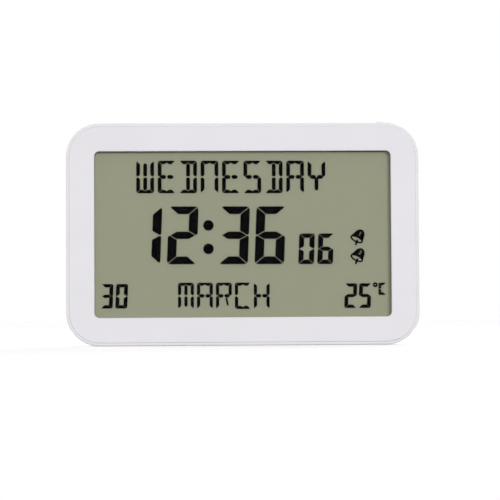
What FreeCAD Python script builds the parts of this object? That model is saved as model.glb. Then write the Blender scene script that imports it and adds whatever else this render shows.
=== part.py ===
"""Day clock with a large liquid crystal display, for a table or a wall.

A white housing in two shells: the rear case is a tray that carries the battery compartment, the keys,
the sounder, the wall keyholes and a fold-out foot, and the front bezel is a panel set into the tray's
rim. Behind the bezel's clear window lies the display stack, which a retainer clamps and which a rubber
connector joins to the main board.

Frame: +X to the right as the display is read, +Z up, the display faces -Y. The origin is at the middle
of the underside, half way through the depth. Lengths are in millimetres and angles in degrees.
"""
import FreeCAD, Part
import os
import re
import sys

import Sketcher

Vector = FreeCAD.Vector
Rotation = FreeCAD.Rotation

doc = FreeCAD.newDocument("day_clock")

# ---------------------------------------------------------------------------------------------------
# Driving dimensions: each is written once, here, and held by a cell of the sheet under its name.
# ---------------------------------------------------------------------------------------------------
SIZES = {
    # housing
    "case_width": 200, "case_height": 126, "case_depth": 26, "corner_radius": 18.9, "wall": 1.8,
    "rear_edge_radius": 4.0, "inner_edge_radius": 2.0,
    "rim_setback": 0.4, "rim_depth": 3.0, "rim_draft": 2.5, "rim_edge_radius": 0.7,
    # front bezel
    "panel_gap": 0.08, "bezel_thickness": 2.2, "bezel_edge_radius": 0.25,
    "window_width": 167.9, "window_height": 94.1, "window_radius": 2.85, "window_chamfer": 0.35,
    "skirt_depth": 3.3, "skirt_thickness": 1.2, "fence_thickness": 1.0, "fence_depth": 2.8,
    "fence_gap": 0.2,
    # window and display stack, from front to back
    "lens_thickness": 1.4, "lens_border": 1.5, "lens_gap": 0.15,
    "gasket_thickness": 0.5, "gasket_width": 1.2,
    "polariser_thickness": 0.2, "glass_thickness": 1.1, "glass_border": 1.8, "cell_gap": 0.1,
    "contact_ledge": 3.2, "ledge_cover": 2.2, "reflector_thickness": 0.3, "film_adhesive": 0.03,
    # retainer, rubber connector and main board
    "retainer_thickness": 1.8, "retainer_bar": 10, "ear_spacing": 110, "ear_offset": 3.05,
    "ear_diameter": 5.4, "post_height": 1.4, "post_diameter": 5,
    "connector_length": 146, "connector_thickness": 2.0, "connector_gap": 0.2,
    "board_width": 166, "board_bay_gap": 2.4, "board_thickness": 1.6, "board_above_glass": 0.95,
    "board_screw_inset": 6, "chip_diameter": 15, "chip_height": 1.8, "crystal_diameter": 2,
    "crystal_length": 6,
    # screws
    "boss_diameter": 6, "pillar_diameter": 8, "boss_spacing_x": 183, "boss_spacing_z": 86, "boss_joint_depth": 11,
    "screw_hole": 3.0, "screw_core": 2.4, "screw_shank": 2.3, "screw_head": 5.2,
    "screw_head_height": 2.0, "screw_length": 14, "counterbore": 5.8, "counterbore_depth": 6,
    "small_core": 1.8, "small_shank": 1.7, "small_head": 3.6, "small_head_height": 1.3,
    "small_screw_length": 4.6,
    # keys on the back and the button on the top edge
    "key_length": 10, "key_width": 5.6, "key_space": 5, "key_rise": 14.4, "key_gap": 0.25,
    "key_well_end": 4, "key_well_width": 11, "key_well_depth": 1.0, "key_proud": 0.6,
    "key_lip": 0.9, "key_lip_thickness": 1.0, "key_edge_radius": 0.4, "key_stem": 4,
    "key_travel": 0.3, "key_guide_wall": 1.0, "key_guide_depth": 3,
    "reset_offset": 7, "reset_hole": 2,
    "snooze_x": 79.2, "snooze_diameter": 5.7, "snooze_proud": 1.6, "snooze_lip": 1.2,
    "snooze_lip_thickness": 0.8, "snooze_lip_gap": 0.4, "snooze_edge_radius": 1.5, "snooze_stem": 3.2,
    # tactile switches
    "switch_width": 6, "switch_height": 3.5, "switch_rise": 1.5, "plunger_diameter": 3.4,
    "plunger_gap": 0.05, "side_switch_depth": 3.6,
    # batteries and their compartment
    "cell_diameter": 14.2, "cell_length": 49.3, "nub_diameter": 5.4, "nub_height": 1.2,
    "cell_space": 0.6, "bay_length": 56, "bay_end_gap": 0.5, "bay_space": 1.6, "bay_wall": 1.4,
    "cradle_gap": 0.3, "contact_thickness": 0.4, "contact_width": 11, "contact_depth": 12, "contact_gap": 0.1,
    "spring_large": 8.4, "spring_small": 5.6, "spring_wire": 0.7, "spring_turns": 2.5,
    # battery door
    "door_margin_x": 3, "door_margin_z": 2.2, "door_gap": 0.2, "door_corner_radius": 2,
    "tab_width": 7, "tab_spacing": 36, "tab_reach": 1.8, "tab_thickness": 1.0,
    "door_edge_radius": 0.3, "grip_length": 14, "grip_width": 0.8, "grip_depth": 0.35, "grip_pitch": 2.2,
    "latch_width": 12, "latch_height": 8, "latch_thickness": 1.1, "latch_catch": 0.7,
    "latch_room_diameter": 11,
    # fold-out foot
    "foot_width": 70, "foot_length": 36, "foot_axis_depth": 2.2, "foot_axis_z": 9.6,
    "foot_inner": 1.2, "foot_gap": 0.4, "foot_corner_radius": 5, "foot_heel": 1.7,
    "foot_floor_gap": 0.1, "foot_recess_floor": 1.4, "foot_recess_wall": 2.2,
    "foot_recess_below": 3.0, "trunnion_diameter": 2.6, "trunnion_length": 1.6,
    "trunnion_clearance": 0.1, "foot_rim": 2.0, "foot_hollow": 1.6, "foot_edge_radius": 0.5, "finger_notch_radius": 9,
    # wall keyholes
    "keyhole_spacing": 124, "keyhole_z": 92, "keyhole_head": 8.6, "keyhole_slot": 4.4,
    "keyhole_rise": 8, "keyhole_pocket": 4.6, "keyhole_wall": 1.2,
    # sounder
    "sounder_x": -66, "sounder_z": 36, "disc_diameter": 27, "disc_thickness": 0.3,
    "ceramic_diameter": 20, "ceramic_thickness": 0.2, "sounder_wall": 1.2, "sounder_ledge": 1.0,
    "sounder_chamber": 2.0, "sound_hole": 1.7, "sound_ring": 4.2,
    # temperature sensor and its vent
    "sensor_x": 78, "sensor_bead": 2.4, "sensor_leg": 0.5, "sensor_reach": 4, "vent_drop": 10, "vent_length": 9, "vent_width": 1.3,
    "vent_pitch": 3, "vent_count": 4,
}

sheet = doc.addObject("Spreadsheet::Sheet", "sizes")
for row, (alias, number) in enumerate(SIZES.items(), start=1):
    sheet.set(f"A{row}", alias.replace("_", " "))
    sheet.set(f"B{row}", str(number))
    sheet.setAlias(f"B{row}", alias)
doc.recompute()


def cells(formula):
    """The formula with each size's name turned into a reference to its cell."""
    return re.sub(r"[a-z][a-z_]*\w*",
                  lambda word: f"sizes.{word[0]}" if word[0] in SIZES else word[0], str(formula))


def value(formula):
    """The formula's present value as a plain number."""
    result = sheet.evalExpression(cells(formula))
    return float(getattr(result, "Value", result))


def whole(*formulas):
    """Each formula in brackets, so that it can stand inside another one."""
    return [f"({formula})" for formula in formulas]


def bind(thing, **formulas):
    """Bind properties to formulas: bind(box, Length="case_width") or Placement__Base__x=..."""
    for name, formula in formulas.items():
        thing.setExpression(name.replace("__", "."), cells(formula))


# Keys on the back, from left to right as the display is read.
KEY_NAMES = ("alarm_key", "mode_key", "up_key", "down_key", "light_key")

# Depths, as Y, of the planes that several pieces share.
FRONT = "(-case_depth / 2)"
BACK = "(case_depth / 2)"
RIM = f"({FRONT} + rim_setback)"
WIDEST = f"({FRONT} + rim_depth)"
INNER_BACK = f"({BACK} - wall)"
BEZEL_BACK = f"({FRONT} + bezel_thickness)"
GLASS_FRONT = f"({BEZEL_BACK} + gasket_thickness + polariser_thickness)"
CELL_FRONT = f"({GLASS_FRONT} + glass_thickness)"
CELL_BACK = f"({CELL_FRONT} + cell_gap)"
GLASS_BACK = f"({CELL_BACK} + glass_thickness)"
RETAINER_FRONT = f"({GLASS_BACK} + reflector_thickness)"
RETAINER_BACK = f"({RETAINER_FRONT} + retainer_thickness)"
BOARD_FRONT = f"({RETAINER_BACK} + post_height)"
BOARD_BACK = f"({BOARD_FRONT} + board_thickness)"
BOSS_JOINT = f"({FRONT} + boss_joint_depth)"
CELL_AXIS = f"({INNER_BACK} - cradle_gap - cell_diameter / 2)"
WELL_FLOOR = f"({BACK} - key_well_depth)"
KEY_CEILING = f"({WELL_FLOOR} - wall)"
FOOT_AXIS = f"({BACK} - foot_axis_depth)"
FOOT_FLOOR = f"({FOOT_AXIS} - foot_heel - foot_floor_gap)"

# Heights, widths and radii that several pieces share.
MID_Z = "(case_height / 2)"
BEZEL_WIDTH = "(case_width - 2 * (wall + panel_gap))"
BEZEL_HEIGHT = "(case_height - 2 * (wall + panel_gap))"
BEZEL_RADIUS = "(corner_radius - wall - panel_gap)"
LENS_WIDTH = "(window_width + 2 * lens_border)"
LENS_HEIGHT = "(window_height + 2 * lens_border)"
LENS_RADIUS = "(window_radius + lens_border)"
GLASS_WIDTH = "(window_width + 2 * glass_border)"
GLASS_HEIGHT = "(window_height + 2 * glass_border + ledge_cover)"   # the contacts lie out of view
DISPLAY_Z = f"({MID_Z} + ledge_cover / 2)"
FENCE_WIDTH = f"({GLASS_WIDTH} + 2 * fence_gap)"
FENCE_HEIGHT = f"({GLASS_HEIGHT} + 2 * fence_gap)"
EAR_Z = f"({DISPLAY_Z} + {FENCE_HEIGHT} / 2 + ear_offset)"
CONNECTOR_Z = f"({DISPLAY_Z} + {GLASS_HEIGHT} / 2 - contact_ledge / 2)"
FOOT_TIP_Z = "(foot_axis_z + foot_length)"
CELL_SPACING = "(cell_diameter + cell_space)"
BAY_HEIGHT = f"({CELL_SPACING} + cell_diameter + 2 * bay_end_gap)"
DOOR_WIDTH = "(bay_length + 2 * door_margin_x)"
DOOR_HEIGHT = f"({BAY_HEIGHT} + 2 * door_margin_z)"
DOOR_BOTTOM = f"({FOOT_TIP_Z} + foot_gap + foot_recess_wall + bay_space + bay_wall)"
DOOR_TOP = f"({DOOR_BOTTOM} + {DOOR_HEIGHT})"
BAY_Z = f"({DOOR_BOTTOM} + {DOOR_HEIGHT} / 2)"
BOARD_TOP = f"({DISPLAY_Z} + {GLASS_HEIGHT} / 2 + board_above_glass)"
BOARD_BOTTOM = f"({DOOR_TOP} + board_bay_gap)"
BOARD_HEIGHT = f"({BOARD_TOP} - {BOARD_BOTTOM})"
SWITCH_TOP = f"({BOARD_BACK} + switch_height)"
PLUNGER_TOP = f"({SWITCH_TOP} + switch_rise)"
SIDE_SWITCH_Y = f"({BOARD_BACK} + side_switch_depth / 2)"
SIDE_SWITCH_Z = f"({BOARD_TOP} - switch_height)"
SCREW_SEAT = "(case_depth / 2 - counterbore_depth)"
KEY_Z = f"({DOOR_TOP} + key_rise)"
KEY_PITCH = "(key_length + key_space)"
KEY_WELL_LENGTH = f"({len(KEY_NAMES) - 1} * {KEY_PITCH} + key_length + 2 * key_well_end)"
RESET_X = f"({KEY_WELL_LENGTH} / 2 + reset_offset)"
# Places of the four screws of a kind: half their spacing across, their upper and their lower level.
BOSSES = ("boss_spacing_x / 2", f"{MID_Z} + boss_spacing_z / 2", f"{MID_Z} - boss_spacing_z / 2")
EARS = ("ear_spacing / 2", EAR_Z, f"2 * {DISPLAY_Z} - {EAR_Z}")
BOARD_HOLES = ("board_width / 2 - board_screw_inset", f"{BOARD_TOP} - board_screw_inset",
               f"{BOARD_BOTTOM} + board_screw_inset")


# ---------------------------------------------------------------------------------------------------
# Sketch and feature helpers
# ---------------------------------------------------------------------------------------------------
def body(label):
    """A new, empty body."""
    thing = doc.addObject("PartDesign::Body", label)
    thing.Label = label
    return thing


def origin_plane(owner, role):
    return next(feature for feature in owner.Origin.OriginFeatures if feature.Role == role)


def sketch(owner, name, plane="XZ_Plane", at="0"):
    """A sketch on one of the body's own origin planes, moved along +X, +Y or +Z to `at`."""
    drawing = owner.newObject("Sketcher::SketchObject", name)
    drawing.AttachmentSupport = [(origin_plane(owner, plane), "")]
    drawing.MapMode = "FlatFace"
    sign = "-" if plane == "XZ_Plane" else ""     # this plane's own normal points along -Y
    bind(drawing, AttachmentOffset__Base__z=f"{sign}({at})")
    doc.recompute([drawing])
    return drawing


def limit(drawing, kind, *places, formula=None):
    """Add a constraint, and bind its value to a formula if it has one."""
    if formula is None:
        return drawing.addConstraint(Sketcher.Constraint(kind, *places))
    index = drawing.addConstraint(Sketcher.Constraint(kind, *places, value(formula)))
    drawing.setExpression(f"Constraints[{index}]", cells(formula))
    return index


def place_point(drawing, line, end, across, up):
    """Hold a line's end at (across, up), measured from the sketch's origin."""
    limit(drawing, "DistanceX", -1, 1, line, end, formula=across)
    limit(drawing, "DistanceY", -1, 1, line, end, formula=up)


def rectangle(drawing, width, height, across="0", up="0"):
    """A sharp-cornered rectangle centred at (across, up)."""
    width, height, across, up = whole(width, height, across, up)
    low_x, low_z = f"({across} - {width} / 2)", f"({up} - {height} / 2)"
    left, base = value(low_x), value(low_z)
    right, top = left + value(width), base + value(height)
    corners = [Vector(left, base, 0), Vector(right, base, 0), Vector(right, top, 0),
               Vector(left, top, 0)]
    lines = [drawing.addGeometry(Part.LineSegment(corners[i], corners[(i + 1) % 4]), False)
             for i in range(4)]
    for i in range(4):
        limit(drawing, "Coincident", lines[i], 2, lines[(i + 1) % 4], 1)
        limit(drawing, "Vertical" if i % 2 else "Horizontal", lines[i])
    place_point(drawing, lines[0], 1, low_x, low_z)
    limit(drawing, "DistanceX", lines[0], 1, lines[0], 2, formula=width)
    limit(drawing, "DistanceY", lines[1], 1, lines[1], 2, formula=height)


def rounded_rectangle(drawing, width, height, radius, across="0", up="0"):
    """A rectangle with rounded corners centred at (across, up)."""
    width, height, radius, across, up = whole(width, height, radius, across, up)
    left, base = value(f"{across} - {width} / 2"), value(f"{up} - {height} / 2")
    right, top, r = left + value(width), base + value(height), value(radius)
    lines = [drawing.addGeometry(Part.LineSegment(Vector(*start, 0), Vector(*end, 0)), False)
             for start, end in (((left + r, base), (right - r, base)),
                                ((right, base + r), (right, top - r)),
                                ((right - r, top), (left + r, top)),
                                ((left, top - r), (left, base + r)))]
    quarter = FreeCAD.Units.parseQuantity("90 deg").getValueAs("rad").Value
    centres = ((right - r, base + r), (right - r, top - r), (left + r, top - r), (left + r, base + r))
    arcs = [drawing.addGeometry(Part.ArcOfCircle(Part.Circle(Vector(*centre, 0), Vector(0, 0, 1), r),
                                                 (i - 1) * quarter, i * quarter), False)
            for i, centre in enumerate(centres)]
    for i in range(4):
        limit(drawing, "Tangent", lines[i], 2, arcs[i], 1)
        limit(drawing, "Tangent", arcs[i], 2, lines[(i + 1) % 4], 1)
        limit(drawing, "Vertical" if i % 2 else "Horizontal", lines[i])
    for arc in arcs[1:]:
        limit(drawing, "Equal", arcs[0], arc)
    limit(drawing, "Radius", arcs[0], formula=radius)
    place_point(drawing, lines[0], 1, f"{across} - {width} / 2 + {radius}", f"{up} - {height} / 2")
    limit(drawing, "DistanceX", lines[3], 1, lines[1], 1, formula=width)
    limit(drawing, "DistanceY", lines[0], 1, lines[2], 1, formula=height)


def oblong(drawing, length, width, across="0", up="0", upright=False):
    """A slot with round ends, of that overall length, centred at (across, up)."""
    length, width, across, up = whole(length, width, across, up)
    half, r = value(f"({length} - {width}) / 2"), value(width) / 2
    x, z = value(across), value(up)
    along, over = (Vector(0, 1, 0), Vector(-1, 0, 0)) if upright else (Vector(1, 0, 0), Vector(0, 1, 0))
    middle = Vector(x, z, 0)
    ends = [middle + along * half, middle - along * half]
    lines = [drawing.addGeometry(Part.LineSegment(ends[1] - over * r, ends[0] - over * r), False),
             drawing.addGeometry(Part.LineSegment(ends[0] + over * r, ends[1] + over * r), False)]
    arcs = [drawing.addGeometry(Part.Arc(ends[0] - over * r, ends[0] + along * r, ends[0] + over * r),
                                False),
            drawing.addGeometry(Part.Arc(ends[1] + over * r, ends[1] - along * r, ends[1] - over * r),
                                False)]
    limit(drawing, "Tangent", lines[0], 2, arcs[0], 1)
    limit(drawing, "Tangent", arcs[0], 2, lines[1], 1)
    limit(drawing, "Tangent", lines[1], 2, arcs[1], 1)
    limit(drawing, "Tangent", arcs[1], 2, lines[0], 1)
    limit(drawing, "Vertical" if upright else "Horizontal", lines[0])
    limit(drawing, "Radius", arcs[0], formula=f"{width} / 2")
    shift = f"({length} - {width}) / 2"
    place_point(drawing, arcs[0], 3, across if upright else f"{across} + {shift}",
                f"{up} + {shift}" if upright else up)
    limit(drawing, "DistanceY" if upright else "DistanceX", arcs[1], 3, arcs[0], 3,
          formula=f"{length} - {width}")


def circle(drawing, diameter, across="0", up="0"):
    ring = drawing.addGeometry(Part.Circle(Vector(value(across), value(up), 0), Vector(0, 0, 1),
                                           value(diameter) / 2), False)
    limit(drawing, "Diameter", ring, formula=diameter)
    place_point(drawing, ring, 3, across, up)


def four_circles(drawing, diameter, across, upper, lower):
    """Equal circles at +across and -across on two levels."""
    for side in ("", "-"):
        for up in (upper, lower):
            circle(drawing, diameter, f"{side}({across})", up)


def polygon(drawing, corners):
    """A closed outline through corners given as pairs of formulas."""
    spots = [Vector(value(across), value(up), 0) for across, up in corners]
    count = len(spots)
    lines = [drawing.addGeometry(Part.LineSegment(spots[i], spots[(i + 1) % count]), False)
             for i in range(count)]
    for i, (across, up) in enumerate(corners):
        limit(drawing, "Coincident", lines[i], 2, lines[(i + 1) % count], 1)
        place_point(drawing, lines[i], 1, across, up)


def extrude(owner, drawing, length, along, cut=False, taper=None, midplane=False):
    """Pad or pocket a sketch by `length` towards -Y or +Y, or towards the sketch plane's +/- axis."""
    name = f"{drawing.Name}_{'cut' if cut else 'pad'}"
    feature = owner.newObject("PartDesign::Pocket" if cut else "PartDesign::Pad", name)
    feature.Profile = drawing
    normal_is_minus_y = origin_plane(owner, "XZ_Plane") in [s for s, _ in drawing.AttachmentSupport]
    along_normal = (along == "-") == normal_is_minus_y
    feature.Reversed = along_normal if cut else not along_normal
    if midplane:
        feature.SideType = "Symmetric"
    bind(feature, Length=length)
    if taper:
        bind(feature, TaperAngle=taper)
    drawing.Visibility = False
    doc.recompute([drawing, feature])
    return feature


def pad(owner, drawing, length, along="+", **options):
    return extrude(owner, drawing, length, along, **options)


def pocket(owner, drawing, length, along="+", **options):
    return extrude(owner, drawing, length, along, cut=True, **options)


def block(owner, name, x, y, z, cut=False):
    """A box from low to high formulas on each axis, added to the body or cut from it."""
    kind = "PartDesign::SubtractiveBox" if cut else "PartDesign::AdditiveBox"
    thing = owner.newObject(kind, name)
    bind(thing, Length=f"{x[1]} - ({x[0]})", Width=f"{y[1]} - ({y[0]})", Height=f"{z[1]} - ({z[0]})",
         Placement__Base__x=x[0], Placement__Base__y=y[0], Placement__Base__z=z[0])
    doc.recompute([thing])
    return thing


TURN_TO = {"x": Rotation(Vector(0, 0, 1), Vector(1, 0, 0)),
           "y": Rotation(Vector(0, 0, 1), Vector(0, 1, 0)),
           "z": Rotation()}


def rod(owner, name, diameter, axis, start, end, x="0", y="0", z="0", cut=False):
    """A cylinder along x, y or z from start to end, added to the body or cut from it."""
    kind = "PartDesign::SubtractiveCylinder" if cut else "PartDesign::AdditiveCylinder"
    thing = owner.newObject(kind, name)
    thing.Placement = FreeCAD.Placement(Vector(), TURN_TO[axis])
    base = {"x": x, "y": y, "z": z}
    base[axis] = start
    bind(thing, Radius=f"({diameter}) / 2", Height=f"{end} - ({start})",
         Placement__Base__x=base["x"], Placement__Base__y=base["y"], Placement__Base__z=base["z"])
    doc.recompute([thing])
    return thing


def edges_where(feature, test):
    """Names of the feature's edges whose every sampled point passes the test."""
    names = []
    for number, edge in enumerate(feature.Shape.Edges, start=1):
        first, last = edge.ParameterRange
        spots = [edge.valueAt(first + (last - first) * share) for share in (0, 0.5, 1)]
        if all(test(spot) for spot in spots):
            names.append(f"Edge{number}")
    return names


def dress(owner, kind, feature, test, size):
    """Fillet or chamfer the edges of a feature that pass a test."""
    names = edges_where(feature, test)
    if not names:
        raise RuntimeError(f"{owner.Label}: no edge to {kind.lower()} on {feature.Name}")
    work = owner.newObject(f"PartDesign::{kind}", f"{feature.Name}_{kind.lower()}")
    work.Base = (feature, names)
    bind(work, **{"Radius" if kind == "Fillet" else "Size": size})
    doc.recompute([work])
    return work


def near(number, formula, slack=0.01):
    return abs(number - value(formula)) < slack


def primitive(kind, label, **formulas):
    """A Part primitive whose properties are bound to formulas."""
    thing = doc.addObject(f"Part::{kind}", label)
    thing.Label = label
    bind(thing, **formulas)
    doc.recompute([thing])
    return thing


def part_box(label, x, y, z):
    """A plain Part box from low to high formulas on each axis."""
    return primitive("Box", label, Length=f"{x[1]} - ({x[0]})", Width=f"{y[1]} - ({y[0]})",
                     Height=f"{z[1]} - ({z[0]})", Placement__Base__x=x[0],
                     Placement__Base__y=y[0], Placement__Base__z=z[0])


def part_rod(label, diameter, axis, start, end, x="0", y="0", z="0"):
    """A plain Part cylinder along x, y or z from start to end."""
    thing = doc.addObject("Part::Cylinder", label)
    thing.Label = label
    thing.Placement = FreeCAD.Placement(Vector(), TURN_TO[axis])
    base = {"x": x, "y": y, "z": z}
    base[axis] = start
    bind(thing, Radius=f"({diameter}) / 2", Height=f"{end} - ({start})",
         Placement__Base__x=base["x"], Placement__Base__y=base["y"], Placement__Base__z=base["z"])
    doc.recompute([thing])
    return thing


def combine(kind, label, *things):
    """A Part Cut, Fuse (MultiFuse) or Compound of things."""
    result = doc.addObject(f"Part::{kind}", label)
    result.Label = label
    if kind == "Cut":
        result.Base, result.Tool = things
    elif kind == "Compound":
        result.Links = list(things)
    else:
        result.Shapes = list(things)
    doc.recompute([result])
    return result


def mirror(label, source):
    """The source's mirror image, left to right."""
    image = doc.addObject("Part::Mirroring", label)
    image.Label = label
    image.Source = source
    image.Normal = Vector(1, 0, 0)
    doc.recompute([image])
    return image


parts = {}        # node name: finished document object


def finish(node, thing):
    """Record a finished piece under its node's name."""
    thing.Label = node
    parts[node] = thing


def plate(node, width, height, y, radius=None, up=MID_Z):
    """A flat sheet that faces the front, with sharp or rounded corners."""
    sheet_body = body(node)
    drawing = sketch(sheet_body, f"{node}_outline", at=y[0])
    if radius:
        rounded_rectangle(drawing, width, height, radius, up=up)
    else:
        rectangle(drawing, width, height, up=up)
    pad(sheet_body, drawing, f"{y[1]} - ({y[0]})")
    finish(node, sheet_body)
    return sheet_body


# ---------------------------------------------------------------------------------------------------
# Rear case: tray, wall keyholes, battery compartment, key well, foot recess and screw pillars
# ---------------------------------------------------------------------------------------------------
def case_tray(case):
    """The outer form and the cavity: flared rim in front, rounded edge at the back."""
    outline = sketch(case, "case_outline", at=WIDEST)
    rounded_rectangle(outline, "case_width", "case_height", "corner_radius", up=MID_Z)
    pad(case, outline, f"{BACK} - {WIDEST}")
    flare = sketch(case, "rim_outline", at=WIDEST)
    rounded_rectangle(flare, "case_width", "case_height", "corner_radius", up=MID_Z)
    form = pad(case, flare, f"{WIDEST} - {RIM}", along="-", taper="-rim_draft")
    form = dress(case, "Fillet", form, lambda p: near(p.y, BACK), "rear_edge_radius")
    form = dress(case, "Fillet", form, lambda p: near(p.y, RIM), "rim_edge_radius")
    inside = sketch(case, "cavity_outline", at=RIM)
    rounded_rectangle(inside, "case_width - 2 * wall", "case_height - 2 * wall",
                      "corner_radius - wall", up=MID_Z)
    form = pocket(case, inside, f"{INNER_BACK} - {RIM}")
    dress(case, "Fillet", form, lambda p: near(p.y, INNER_BACK), "inner_edge_radius")


def case_screw_pillars(case):
    """Pillars that meet the bezel's bosses, each with a sink for the screw's head."""
    pillars = sketch(case, "pillars", at=BOSS_JOINT)
    four_circles(pillars, "pillar_diameter", *BOSSES)
    pad(case, pillars, f"{INNER_BACK} - {BOSS_JOINT}")
    sinks = sketch(case, "screw_sinks", at=SCREW_SEAT)
    four_circles(sinks, "counterbore", *BOSSES)
    pocket(case, sinks, "counterbore_depth + 1")
    holes = sketch(case, "screw_holes", at=f"{BOSS_JOINT} - 1")
    four_circles(holes, "screw_hole", *BOSSES)
    pocket(case, holes, f"{SCREW_SEAT} - {BOSS_JOINT} + 2")


def case_battery_bay(case):
    """Tub with two cradles for the cells, and the frame that the door lies on."""
    flange, lip = "bay_wall", f"({INNER_BACK} - bay_wall)"
    block(case, "door_frame", (f"-{DOOR_WIDTH} / 2 - {flange}", f"{DOOR_WIDTH} / 2 + {flange}"),
          (lip, INNER_BACK), (f"{DOOR_BOTTOM} - {flange}", f"{DOOR_TOP} + {flange}"))
    tub_front = f"({CELL_AXIS} - cell_diameter / 2 - cradle_gap - bay_wall)"
    block(case, "bay_tub", ("-bay_length / 2 - bay_wall", "bay_length / 2 + bay_wall"),
          (tub_front, INNER_BACK),
          (f"{BAY_Z} - {BAY_HEIGHT} / 2 - bay_wall", f"{BAY_Z} + {BAY_HEIGHT} / 2 + bay_wall"))
    opening = sketch(case, "door_opening", at=INNER_BACK)
    rounded_rectangle(opening, DOOR_WIDTH, DOOR_HEIGHT, "door_corner_radius + door_gap",
                      up=BAY_Z)
    pocket(case, opening, "wall + 1")
    block(case, "bay_hollow", ("-bay_length / 2", "bay_length / 2"), (CELL_AXIS, f"{INNER_BACK} + 0.1"),
          (f"{BAY_Z} - {BAY_HEIGHT} / 2", f"{BAY_Z} + {BAY_HEIGHT} / 2"), cut=True)
    for name, side in (("upper", "+"), ("lower", "-")):
        rod(case, f"cradle_{name}", "cell_diameter + 2 * cradle_gap", "x", "-bay_length / 2",
            "bay_length / 2", y=CELL_AXIS, z=f"{BAY_Z} {side} {CELL_SPACING} / 2", cut=True)
    for tag, inner, outer in (("left", "-bay_length / 2", "-bay_length / 2 + contact_thickness + 0.6"),
                              ("right", "bay_length / 2 - contact_thickness - 0.6", "bay_length / 2")):
        block(case, f"contact_slot_{tag}", (inner, outer),
              (f"{CELL_AXIS} - contact_depth / 2 - contact_gap", f"{INNER_BACK} + 0.1"),
              (f"{BAY_Z} - {BAY_HEIGHT} / 2", f"{BAY_Z} + {BAY_HEIGHT} / 2"), cut=True)
    for side in ("-", ""):
        middle = f"({side}tab_spacing / 2)"
        block(case, f"tab_slot_{'l' if side else 'r'}",
              (f"{middle} - tab_width / 2 - 2 * door_gap", f"{middle} + tab_width / 2 + 2 * door_gap"),
              (f"{INNER_BACK} - 3", f"{INNER_BACK} + 0.1"),
              (f"{DOOR_BOTTOM} - tab_reach - 1", f"{BAY_Z} - {BAY_HEIGHT} / 2 + 0.1"), cut=True)
    block(case, "latch_slot", ("-latch_width / 2 - 0.5", "latch_width / 2 + 0.5"),
          (f"{INNER_BACK} - 3.4", f"{INNER_BACK} + 0.1"),
          (f"{BAY_Z} + {BAY_HEIGHT} / 2 - 0.1", f"{DOOR_TOP} + latch_catch + 0.9"), cut=True)
    rod(case, "latch_finger_room", "latch_room_diameter", "y", f"{BACK} - 0.8", f"{BACK} + 1",
        z=f"{DOOR_TOP} + 0.5", cut=True)


def case_foot_recess(case):
    """Sunk bed for the folded foot, with round sockets for its trunnions."""
    half = "(foot_width / 2 + foot_gap)"
    low, high = "(foot_axis_z - foot_recess_below)", f"({FOOT_TIP_Z} + foot_gap)"
    block(case, "foot_bed", (f"-{half} - foot_recess_wall", f"{half} + foot_recess_wall"),
          (f"{FOOT_FLOOR} - foot_recess_floor", INNER_BACK),
          ("wall / 2", f"{high} + foot_recess_wall"))
    block(case, "foot_recess", (f"-{half}", half), (FOOT_FLOOR, f"{BACK} + 1"), (low, high), cut=True)
    rod(case, "foot_socket", "trunnion_diameter + 2 * trunnion_clearance", "x",
        f"-{half} - trunnion_length", f"{half} + trunnion_length", y=FOOT_AXIS, z="foot_axis_z",
        cut=True)
    rod(case, "finger_notch", "2 * finger_notch_radius", "y", f"{BACK} - 1.2", f"{BACK} + 1",
        z=f"{high} - 2", cut=True)


def case_keyholes(case):
    """Two hooded keyholes: a screw's head goes in at the round end, and its shank up the slot."""
    head, middle = "(keyhole_head + 1)", "keyhole_z + keyhole_rise / 2"
    hoods = sketch(case, "keyhole_hoods", at=f"{INNER_BACK} - keyhole_pocket - keyhole_wall")
    rooms = sketch(case, "keyhole_rooms", at=f"{INNER_BACK} - keyhole_pocket")
    entries = sketch(case, "keyhole_entries", at=f"{INNER_BACK} - 0.1")
    slots = sketch(case, "keyhole_slots", at=f"{INNER_BACK} - 0.1")
    for side in ("", "-"):
        across = f"{side}keyhole_spacing / 2"
        for drawing, size in ((hoods, f"{head} + 2 * keyhole_wall"), (rooms, head),
                              (slots, "keyhole_slot")):
            oblong(drawing, f"{size} + keyhole_rise", size, across, middle, upright=True)
        circle(entries, "keyhole_head", across, "keyhole_z")
    pad(case, hoods, "keyhole_pocket + keyhole_wall")
    pocket(case, rooms, "keyhole_pocket")
    pocket(case, entries, "wall + 1")
    pocket(case, slots, "wall + 1")


def key_x(number):
    """Place across the housing of a key, counted from the left as the display is read."""
    return f"({number - len(KEY_NAMES) // 2} * {KEY_PITCH})"


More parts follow.
